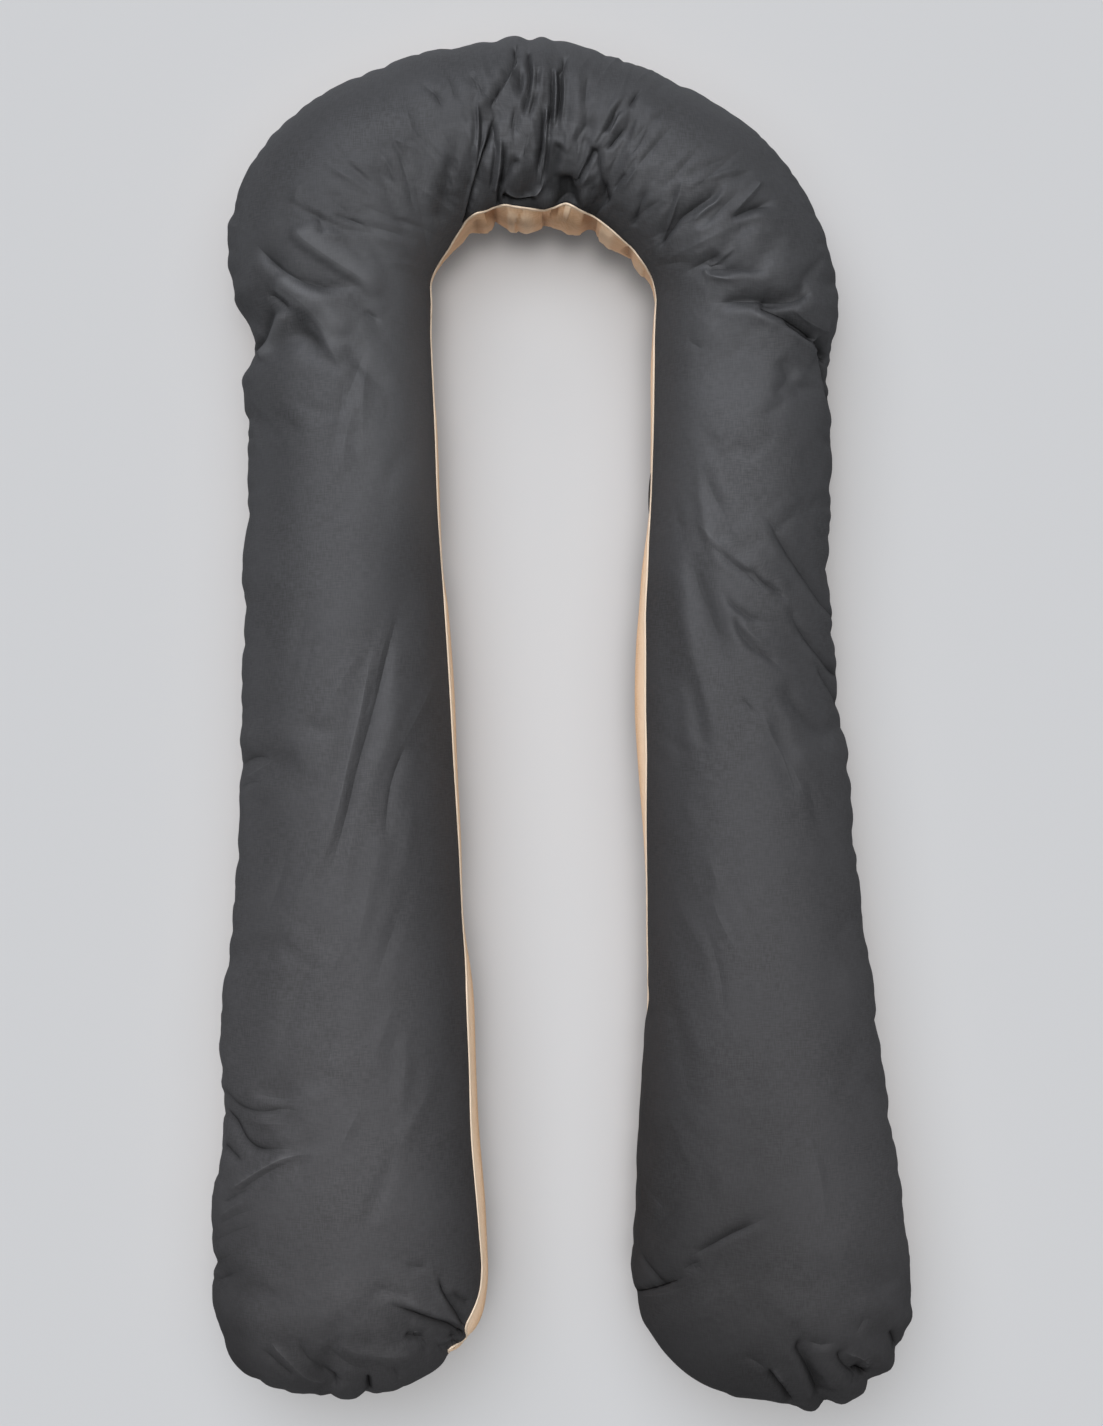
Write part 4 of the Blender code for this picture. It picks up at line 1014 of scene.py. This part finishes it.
# A crease is sharper than the mesh is fine, so each point also keeps how far it lies from
# its crease and how deep that is, for the cloth's shader. Creases that cross or lie close
# together are kept apart, on different sheets; the first also keeps how far the point is
# raised or sunk, all told.
SHEETS = 4
SHEET_REACH = 0.0085  # how far off a point still keeps its crease
SHEET_FADE = 0.0082  # and how far off the crease has faded out
MOST_TAKEN = 0.1  # a crease is left out if every sheet has more of its points taken than this
sheets = np.zeros((SHEETS, len(places), 3))  # in millimetres
# The raised or sunk value feeds the shaders' painted light and painted shade; it holds the painted
# shade by the bend's seam too.
sheets[0, :, 2] = raised * 1000
taken = np.zeros((SHEETS, len(places)), bool)
for crease in face_creases + notches + back_creases + puckers:
    near, across, share, _ = beside(crease, 1.5 + 0.006 / crease.width)
    away = np.abs(across) * crease.width
    near, across, share, away = (part[away < SHEET_REACH] for part in (near, across, share, away))
    if crease.fade_in == 0:
        near, across, share, away = (part[share > 0] for part in (near, across, share, away))
    clashes = taken[:, near].sum(axis=1)
    sheet = clashes.argmin()
    if clashes[sheet] > MOST_TAKEN * len(near):
        continue
    free = ~taken[sheet, near]
    near, across, share, away = (part[free] for part in (near, across, share, away))
    taken[sheet, near] = True
    strength = faded(crease, share) * crease.depth * smooth_step(SHEET_FADE - away, 0, 0.003)
    strength *= 1 - 0.8 * softness(crease)
    sheets[sheet, near, 0] = across * crease.width * 1000
    sheets[sheet, near, 1] = strength * 1000
places = places + moves
places[:, 2] = places[:, 2].clip(0)


def piece(name, points, faces):
    """A smooth object of points and faces, placed in the scene."""
    mesh = bpy.data.meshes.new(name)
    mesh.from_pydata(points, [], faces)
    mesh.shade_smooth()
    made = bpy.data.objects.new(name, mesh)
    bpy.context.collection.objects.link(made)
    return made


def panel_piece(name, index):
    """One panel of the bag, with each point's place on the flat cloth."""
    used, corners = np.unique(quads[panel_of == index], return_inverse=True)
    made = piece(name, places[used].tolist(), corners.reshape(-1, 4).tolist())
    kept = {"cut": flat} | {f"creases_{k}": sheet for k, sheet in enumerate(sheets)}
    for channel, values in kept.items():
        laid = made.data.attributes.new(channel, "FLOAT_VECTOR", "POINT")
        laid.data.foreach_set("vector", values[used].ravel())
    return made


face_panel = panel_piece("face_panel_cloth", 0)
back_panel = panel_piece("back_panel_cloth", 1)

# Along the legs the strip under the seam is lighter than the mesh's own shape makes it, so
# its normals are turned well up there. The shape itself stays as it is.
back_points = np.unique(quads[panel_of == 1])
leaning = read(back_panel.data.vertex_normals, "vector", 3)
near_seam = visible[back_points] * (1 - smooth_step(gap[back_points], 0.020, 0.045))
leaning[:, 2] += 0.9 * near_seam * (1 - smooth_step(places[back_points, 1], 0.30, 0.42))
leaning /= np.linalg.norm(leaning, axis=1)[:, None]
back_panel.data.normals_split_custom_set_from_vertices(leaning.tolist())


class Wire:
    """A shader socket that adds and multiplies like a number."""

    def __init__(self, tree, socket):
        self.tree, self.socket = tree, socket

    def node(self, kind, settings, *inputs, output=0):
        """Any other node, fed with values or wires, in the order of its sockets."""
        made = self.tree.nodes.new("ShaderNode" + kind)
        for name, value in settings.items():
            setattr(made, name, value)
        for key, value in inputs:
            if isinstance(value, Wire):
                self.tree.links.new(value.socket, made.inputs[key])
            else:
                made.inputs[key].default_value = value
        return Wire(self.tree, made.outputs[output])

    def math(self, operation, *values):
        return self.node("Math", {"operation": operation}, *enumerate((self, *values)))

    def __add__(self, other):
        return self.math("ADD", other)

    def __sub__(self, other):
        return self.math("SUBTRACT", other)

    def __rsub__(self, other):
        return self.node("Math", {"operation": "SUBTRACT"}, (0, other), (1, self))

    def __mul__(self, other):
        return self.math("MULTIPLY", other)

    def __abs__(self):
        return self.math("ABSOLUTE")

    def between(self, low, high, start=0.0, end=1.0):
        """The wire mapped smoothly from low..high to start..end."""
        inputs = enumerate((self, low, high, start, end))
        return self.node("MapRange", {"interpolation_type": "SMOOTHSTEP"}, *inputs)

    def part(self, k):
        """The x, y or z of a place."""
        return self.node("SeparateXYZ", {}, (0, self), output=k)

    def scaled(self, *shares):
        """A place or a colour, with its three parts multiplied."""
        return self.node("VectorMath", {"operation": "MULTIPLY"}, (0, self), (1, shares))

    def noise(self, scale, detail, rough=0.5):
        inputs = ("Vector", self), ("Scale", scale), ("Detail", detail), ("Roughness", rough)
        return self.node("TexNoise", {}, *inputs)

    def blend(self, first, second):
        """A colour between two, with this wire as the share of the second."""
        made = self.tree.nodes.new("ShaderNodeMix")
        made.data_type = "RGBA"
        self.tree.links.new(self.socket, made.inputs["Factor"])
        for socket, value in zip(made.inputs[6:8], (first, second)):
            if isinstance(value, Wire):
                self.tree.links.new(value.socket, socket)
            else:
                socket.default_value = value
        return Wire(self.tree, made.outputs[2])


def cloth_material(name, sheen, slubs, clouds, crumples):
    """A new material and its shader; the wire of a point's place on the flat cloth, and its
    parts: across the bag, along it and off the seam; and the cloth's own unevenness, at
    these scales: threads that thicken, worn patches and fine crumples."""
    material = bpy.data.materials.new(name)
    material.use_nodes = True
    tree = material.node_tree
    shader = tree.nodes["Principled BSDF"]
    shader.inputs["Sheen Weight"].default_value = sheen
    shader.inputs["Sheen Roughness"].default_value = 0.45
    shader.inputs["Specular IOR Level"].default_value = 0.10
    laid = Wire(tree, None).node("Attribute", {"attribute_name": "cut"}, output=1)
    places = (laid.part(k) for k in range(3))
    slub = laid.scaled(1, 0.12, 0).noise(slubs, 1) + laid.scaled(0.12, 1, 0).noise(slubs, 1)
    level = laid.scaled(1, 1, 0)
    uneven = slub, level.noise(clouds, 3), level.noise(crumples, 3, 0.55)
    return material, shader, laid, *places, *uneven


def woven(laid, pitch):
    """The height of a plain weave, with threads that vary in thickness."""
    uneven = laid.scaled(1, 1, 0).noise(900, 1) * 0.8
    turn = 2 * math.pi / pitch
    warp, weft = (laid.part(k) * turn + uneven for k in (0, 1))
    return warp.math("SINE") * weft.math("SINE")


def creases_of(laid, sharp):
    """(how deep the creases' lines are, how high the cloth is beside them, how far it is raised in
    all, with the painted shade by the bend's seam), from what the cloth's points keep; the shaders
    paint light and shade from them."""
    line = high = 0.0
    for k in range(SHEETS):
        kept = laid.node("Attribute", {"attribute_name": f"creases_{k}"}, output=1)
        off, depth = kept.part(0), kept.part(1)
        near = off * off * (-1 / sharp**2)
        far = abs(off) * (-0.8 / sharp)
        line = near.math("EXPONENT") * depth + line
        high = far.math("EXPONENT") * depth * -1 + high
        if k == 0:
            lifted = kept.part(2)
    return line, high, lifted


def layered(tone, *layers):
    """A tone with further colours laid over it, each by its own share."""
    for share, colour in layers:
        tone = share.blend(tone, colour)
    return tone


def give_looks(panel, material, shader, colour, rough, relief):
    """Puts the looks together and gives them to a panel; the relief is in millimetres."""
    bump = colour.node("Bump", {}, ("Height", relief), ("Distance", 0.001), ("Strength", 1.0))
    for name, wire in (("Base Color", colour), ("Roughness", rough), ("Normal", bump)):
        material.node_tree.links.new(wire.socket, shader.inputs[name])
    panel.data.materials.append(material)


# Charcoal: a soft gloss, which a metallic share gives. Part of its light and dark is painted into
# its colour, however it is lit: painted light where a fold is raised, on the creases' ridges,
# along the bend's rim and where the bend's inner side meets the legs; painted shade on the bend's
# crown, on a band down the left leg, down the right leg's inner side and the left leg's outer
# side, at the leg ends, in the creases and at the seam; and a painted tint of the light over it
# all.
CHARCOAL = (0.073, 0.0736, 0.0757, 1)
CHARCOAL_WORN = (0.084, 0.0852, 0.0885, 1)
CHARCOAL_SLUB = (0.095, 0.0964, 0.1002, 1)
PAINTED_LIGHT = (0.22, 0.223, 0.231, 1)
PAINTED_SHADE = (0.02, 0.02, 0.02, 1)
PAINTED_SHADE_SUNK = (0.018, 0.018, 0.018, 1)
PAINTED_CREASE_SHADE = (0.006, 0.006, 0.006, 1)
PAINTED_SEAM_SHADOW = (0.012, 0.011, 0.011, 1)

material, shader, laid, along_x, along_y, to_seam, slub, clouds, crumple = cloth_material(
    "charcoal_cotton_cloth", 0.0, 900, 14, 34
)
shader.inputs["Metallic"].default_value = 0.28
shader.inputs["Specular Tint"].default_value = (0.55, 0.55, 0.55, 1)
shader.inputs["Specular IOR Level"].default_value = 0.0
line, high, lifted = creases_of(laid, 0.95)
off_middle = abs(along_x - BEND_CENTRE[0])
under_arms = off_middle.between(0.21, 0.14) * off_middle.between(0.05, 0.11)
under_arms = under_arms * along_y.between(0.13, 0.26) * along_y.between(0.56, 0.47)
rim = to_seam.between(-0.11, -0.04) * along_y.between(0.54, 0.62)
# Painted light: paler where a fold is raised, on ridges, along the bend's rim and where the bend's
# inner side meets the legs.
lit = lifted.between(0.3, 4) * 0.25 + line.between(-0.5, -4) * 0.30
lit = lit + under_arms * along_x.between(-0.05, 0.05, 0.26, 0.06) + rim * 0.24
# Painted shade by place: on the bend's crown, on a band down the left leg, down the right leg's
# inner side, at the leg ends and along the left leg's outer side.
on_crown = to_seam.between(-0.08, -0.14) * along_y.between(0.42, 0.50) * 0.16
on_crown = on_crown + along_x.between(-0.21, -0.25) * along_x.between(-0.33, -0.27) * 0.08
right_leg = along_x.between(0.0, 0.04) * along_x.between(0.30, 0.17)
inner_side = along_y.between(0.20, 0.08) * 0.14 + along_y.between(-0.15, -0.55) * 0.36
leg_ends = along_y.between(-0.52, -0.64) * 0.20
leg_ends = leg_ends + along_x.between(0.0, 0.1) * along_y.between(-0.48, -0.60) * 0.15
brink = along_x.between(-0.29, -0.33) * along_y.between(-0.35, -0.60) * 0.32
unlit = on_crown + right_leg * inner_side + (1 - right_leg) * leg_ends + brink
tone = layered(
    CHARCOAL,
    (clouds.between(0.3, 0.7), CHARCOAL_WORN),
    (slub.between(0.7, 1.3), CHARCOAL_SLUB),
    (lit, PAINTED_LIGHT),
    (unlit, PAINTED_SHADE),
    # painted shade where the cloth is sunk and in the creases' lines
    (lifted.between(-0.6, -7) * 0.62, PAINTED_SHADE_SUNK),
    (line.between(2.2, 8) * 0.85, PAINTED_CREASE_SHADE),
    # painted shadow in the seam's groove
    (to_seam.between(-0.0025, -0.0004), PAINTED_SEAM_SHADOW),
)
# A painted tint of the light: a touch warmer towards the leg ends and a touch bluer towards the
# bend.
tint = along_y.between(-0.6, 0.6).blend((1.03, 1.0, 1.0, 1), (1.0, 1.0, 1.015, 1))
tone = tone.node("VectorMath", {"operation": "MULTIPLY"}, (0, tone), (1, tint))
rough = clouds * 0.10 + 0.42
relief = woven(laid, 0.0007) * 0.02 + slub * 0.04 + crumple * 1.2 + high * 0.16
give_looks(face_panel, material, shader, tone, rough, relief)

# Tan: matt and warm. Its colour too holds painted light and shade, however it is lit: painted
# light makes it pale towards the seam along the legs, with a painted highlight along the seam's
# edge, and in the strip under the bend painted light makes it pale on the folds and painted shade
# dark between them and low down.
TAN = (0.78, 0.49, 0.28, 1)
TAN_WORN = (0.86, 0.56, 0.34, 1)
TAN_SLUB = (0.90, 0.61, 0.39, 1)
STRIP_PAINTED_LIGHT, EDGE_PAINTED_HIGHLIGHT = (1.0, 0.76, 0.55, 1), (1.0, 0.80, 0.60, 1)
TAN_PAINTED_LIGHT, TAN_PAINTED_SHADE = (0.98, 0.80, 0.60, 1), (0.40, 0.20, 0.10, 1)
TAN_PAINTED_DEEP_SHADE, TAN_PAINTED_CREASE_SHADE = (0.26, 0.14, 0.07, 1), (0.30, 0.15, 0.07, 1)

material, shader, laid, along_x, along_y, to_seam, slub, clouds, crumple = cloth_material(
    "tan_cotton_cloth", 0.25, 800, 18, 60
)
shader.inputs["Sheen Tint"].default_value = (1.0, 0.84, 0.67, 1)
line, high, lifted = creases_of(laid, 1.4)
down_the_legs = along_y.between(0.44, 0.34)
off_middle = abs(along_x - BEND_CENTRE[0])
inside = off_middle.between(0.19, 0.16) * along_y.between(0.60, 0.56)  # of the U
# Painted shade low down in the strip under the bend.
under_bend = along_y.between(0.44, 0.50) * to_seam.between(0.008, 0.030)
tone = layered(
    TAN,
    (clouds.between(0.3, 0.7), TAN_WORN),
    (slub.between(0.7, 1.3), TAN_SLUB),
    # painted light on the strip along the legs, and a painted highlight at the seam's edge
    (to_seam.between(0.030, 0.002) * down_the_legs, STRIP_PAINTED_LIGHT),
    (to_seam.between(0.005, 0.001), EDGE_PAINTED_HIGHLIGHT),
    # painted light on the folds, painted shade between them, low down and in the creases' lines
    (lifted.between(0.2, 2.5) * inside * 0.5, TAN_PAINTED_LIGHT),
    (lifted.between(-0.2, -3) * inside * 0.75, TAN_PAINTED_SHADE),
    (under_bend * inside * 0.75, TAN_PAINTED_DEEP_SHADE),
    (line.between(0.8, 3.5) * inside * 0.6, TAN_PAINTED_CREASE_SHADE),
)
rough = clouds * 0.10 + 0.68
relief = woven(laid, 0.0008) * 0.03 + slub * 0.05 + crumple * 1.6 + high * 0.2
give_looks(back_panel, material, shader, tone, rough, relief)

for panel in (face_panel, back_panel):
    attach(panel, "root")
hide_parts("face_panel")
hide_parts("back_panel")

# ---------------------------------------------------------------- the seam edge
# The back panel's cloth is rolled over the seam allowance, and shows as a fine edge; its colour is
# the tan painted paler, a painted highlight.
# It follows the points that the two panels share, one after the other round the bag.

shared = np.intersect1d(quads[panel_of == 0], quads[panel_of == 1])
sides = np.concatenate([quads[:, [k, (k + 1) % 4]] for k in range(4)])
sides = np.unique(np.sort(sides[np.isin(sides, shared).all(axis=1)], axis=1), axis=0)
joined_to = {point: [] for point in shared.tolist()}
for a, b in sides.tolist():
    joined_to[a].append(b)
    joined_to[b].append(a)
ring, last = [int(shared[0])], -1
while True:
    following = [point for point in joined_to[ring[-1]] if point != last]
    if not following or following[0] == ring[0]:
        break
    last = ring[-1]
    ring.append(following[0])

EDGE_RADIUS = 0.0011
EDGE_SIDES = 8
EDGE_OUT = 0.3  # how far the edge stands out of the seam, as a share of its radius
middle_of = places[ring]
ahead = np.roll(middle_of, -1, axis=0) - np.roll(middle_of, 1, axis=0)
ahead /= np.linalg.norm(ahead, axis=1)[:, None]
out_of = outward[ring] - ahead * (outward[ring] * ahead).sum(1)[:, None]
out_of /= np.linalg.norm(out_of, axis=1)[:, None]
across_of = np.cross(ahead, out_of)
around = np.linspace(0, 2 * math.pi, EDGE_SIDES, endpoint=False)
tube = middle_of[:, None] + EDGE_RADIUS * (
    out_of[:, None] * (np.cos(around) + EDGE_OUT)[:, None]
    + across_of[:, None] * np.sin(around)[:, None]
)
grid = np.arange(len(ring) * EDGE_SIDES).reshape(-1, EDGE_SIDES)
closed = np.pad(grid, (0, 1), mode="wrap")  # round the tube, and round the bag
seam_edge = piece("seam_edge", tube.reshape(-1, 3).tolist(), cells(closed))


def plain(name, colour, rough):
    """A material of one colour."""
    made = bpy.data.materials.new(name)
    made.use_nodes = True
    inputs = made.node_tree.nodes["Principled BSDF"].inputs
    inputs["Base Color"].default_value = (*colour, 1)
    inputs["Roughness"].default_value = rough
    return made


# A painted highlight: the tan painted paler along the rolled edge.
seam_edge.data.materials.append(plain("cream_edge_painted_highlight", (1.0, 0.81, 0.62), 0.7))
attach(seam_edge, "root")

# ---------------------------------------------------------------- the closure tape
# A dark tape shows for a finger's length where it stands out of the back panel, on the
# inner side of the right leg, just under the seam.

TAPE_FROM, TAPE_TO = 0.251, 0.209  # along the leg
TAPE_UNDER, TAPE_WIDTH, TAPE_OUT = 0.0042, 0.004, 0.0031
TAPE_STOPS = 15
TAPE_SECTION = ((0.001, 0.5), (-0.8, 0.5), (-1, 0), (-0.8, -0.5), (0.001, -0.5))  # out, up
beside_leg = middle_of[(middle_of[:, 0] > 0.05) & (middle_of[:, 0] < 0.13)]
beside_leg = beside_leg[beside_leg[:, 1].argsort()]
stops = np.linspace(TAPE_FROM, TAPE_TO, TAPE_STOPS)
seam_x, seam_z = (np.interp(stops, beside_leg[:, 1], beside_leg[:, k]) for k in (0, 2))
full = np.sin(np.linspace(0.12, math.pi - 0.12, TAPE_STOPS)) ** 0.4  # narrow at both ends
tape = [
    (x + share * TAPE_OUT * out_x, y, z - TAPE_UNDER + share * TAPE_WIDTH * up)
    for x, y, z, share in zip(seam_x, stops, seam_z, full)
    for out_x, up in TAPE_SECTION
]
grid = np.arange(len(tape)).reshape(TAPE_STOPS, -1)
caps = [grid[0, ::-1].tolist(), grid[-1].tolist()]
closed = np.pad(grid, ((0, 0), (0, 1)), mode="wrap")
closure_tape = piece("closure_tape", tape, cells(closed) + caps)
closure_tape.data.materials.append(plain("dark_tape", (0.030, 0.028, 0.027), 0.7))
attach(closure_tape, "root")

# ---------------------------------------------------------------- floor, light, camera
# The floor's colour holds a painted shadow: at each of its points it keeps how much of the room's
# light it is painted to get, and close under the bag's side, and most of all under the bend, it is
# painted dark as the bag's shade. Part of its paleness is a painted glow of its own, which that
# painted shadow dims too.

FLOOR_STEP = 0.005  # between the floor's points, near the bag
FLOOR_NEAR = 0.91  # beyond this, no point of the floor is in the bag's shade
SHADE_REACH = 0.010  # how far from the bag its shade on the floor falls off
SHADE_ROUNDS = 8  # of smoothing
LOW = 0.045  # the bag's points below this height cast it
PAPER, PAINTED_GLOW = (0.40, 0.405, 0.413), (0.225, 0.228, 0.234)

across = np.concatenate([(-60, -3, -1.2), np.arange(-0.56, 0.561, FLOOR_STEP), (1.2, 3, 60)])
along = np.concatenate([(-60, -3, -1.4), np.arange(-0.90, 0.801, FLOOR_STEP), (1.4, 3, 60)])
spots = np.stack(np.meshgrid(across, along), -1).reshape(-1, 2)
low_points = places[places[:, 2] < LOW]
tree = KDTree(len(low_points))
for k, place in enumerate(low_points):
    tree.insert((place[0], place[1], 0), k)
tree.balance()
close = np.abs(spots).max(axis=1) < FLOOR_NEAR
away = np.ones(len(spots))
away[close] = [tree.find((x, y, 0))[2] for x, y in spots[close]]

x, y = spots.T[0] - BEND_CENTRE[0], spots.T[1]
under_arch = np.exp(-((x / 0.13) ** 2) - ((y - 0.47) / 0.08) ** 2)
open_side = smooth_step(np.abs(spots.T[0]), 0.25, 0.33) * smooth_step(y, -0.62, -0.5)
shade = 0.45 + 0.42 * under_arch - 0.27 * open_side
shade *= 1 - smooth_step(y, 0.5, 0.6) * (1 - under_arch)
painted_floor_light = 1 - shade * np.exp(-((away / SHADE_REACH) ** 1.3))
# Painted light: the floor is a little paler within the U, close under the bend.
painted_floor_light *= 1 + 0.12 * np.exp(-((x / 0.11) ** 2) - ((y - 0.445) / 0.055) ** 2)
painted_floor_light = painted_floor_light.reshape(len(along), len(across))
for _ in range(SHADE_ROUNDS):
    beside_x = (np.roll(painted_floor_light, 1, axis=1) + np.roll(painted_floor_light, -1, axis=1)) / 2
    beside_y = (np.roll(painted_floor_light, 1, axis=0) + np.roll(painted_floor_light, -1, axis=0)) / 2
    painted_floor_light = (2 * painted_floor_light + beside_x + beside_y) / 4

tiles = cells(np.arange(len(spots)).reshape(len(along), len(across)))
floor = piece("floor", np.pad(spots, ((0, 0), (0, 1))).tolist(), tiles)
floor.location.z = -0.0008
kept = floor.data.attributes.new("painted_floor_light", "FLOAT", "POINT")
kept.data.foreach_set("value", painted_floor_light.ravel())
paper = plain("pale_floor", PAPER, 0.85)
inputs = paper.node_tree.nodes["Principled BSDF"].inputs
light_on = Wire(paper.node_tree, None).node("Attribute", {"attribute_name": "painted_floor_light"}, output=2)
for name, colour in (("Base Color", PAPER), ("Emission Color", PAINTED_GLOW)):
    scaled = light_on.node("VectorMath", {"operation": "SCALE"}, (0, colour), ("Scale", light_on))
    paper.node_tree.links.new(scaled.socket, inputs[name])
inputs["Emission Strength"].default_value = 1.0
floor.data.materials.append(paper)

world = bpy.data.worlds.new("studio")
world.use_nodes = True
background = world.node_tree.nodes["Background"].inputs
background["Color"].default_value = (0.95, 0.97, 1.0, 1)
background["Strength"].default_value = 0.08
bpy.context.scene.world = world

for name, energy, spread, tilt, turn, colour in (
    ("overhead", 1.85, 75, -10, -3, (1.01, 1.0, 0.985)),
    ("window", 1.25, 50, -36, -16, (0.95, 0.985, 1.06)),
):
    lamp = bpy.data.lights.new(name, "SUN")
    lamp.energy = energy
    lamp.angle = math.radians(spread)
    lamp.color = colour
    light = bpy.data.objects.new(name, lamp)
    light.location = (0, 0.9, 3.2)
    light.rotation_euler = (math.radians(tilt), math.radians(turn), 0)
    bpy.context.collection.objects.link(light)

view = bpy.data.cameras.new("camera")
view.lens = 63.5
view.sensor_width = 36
camera = bpy.data.objects.new("camera", view)
camera.location = (-0.0105, 0.010, 2.6)
bpy.context.collection.objects.link(camera)
bpy.context.scene.camera = camera
bpy.context.scene.view_settings.view_transform = "Standard"
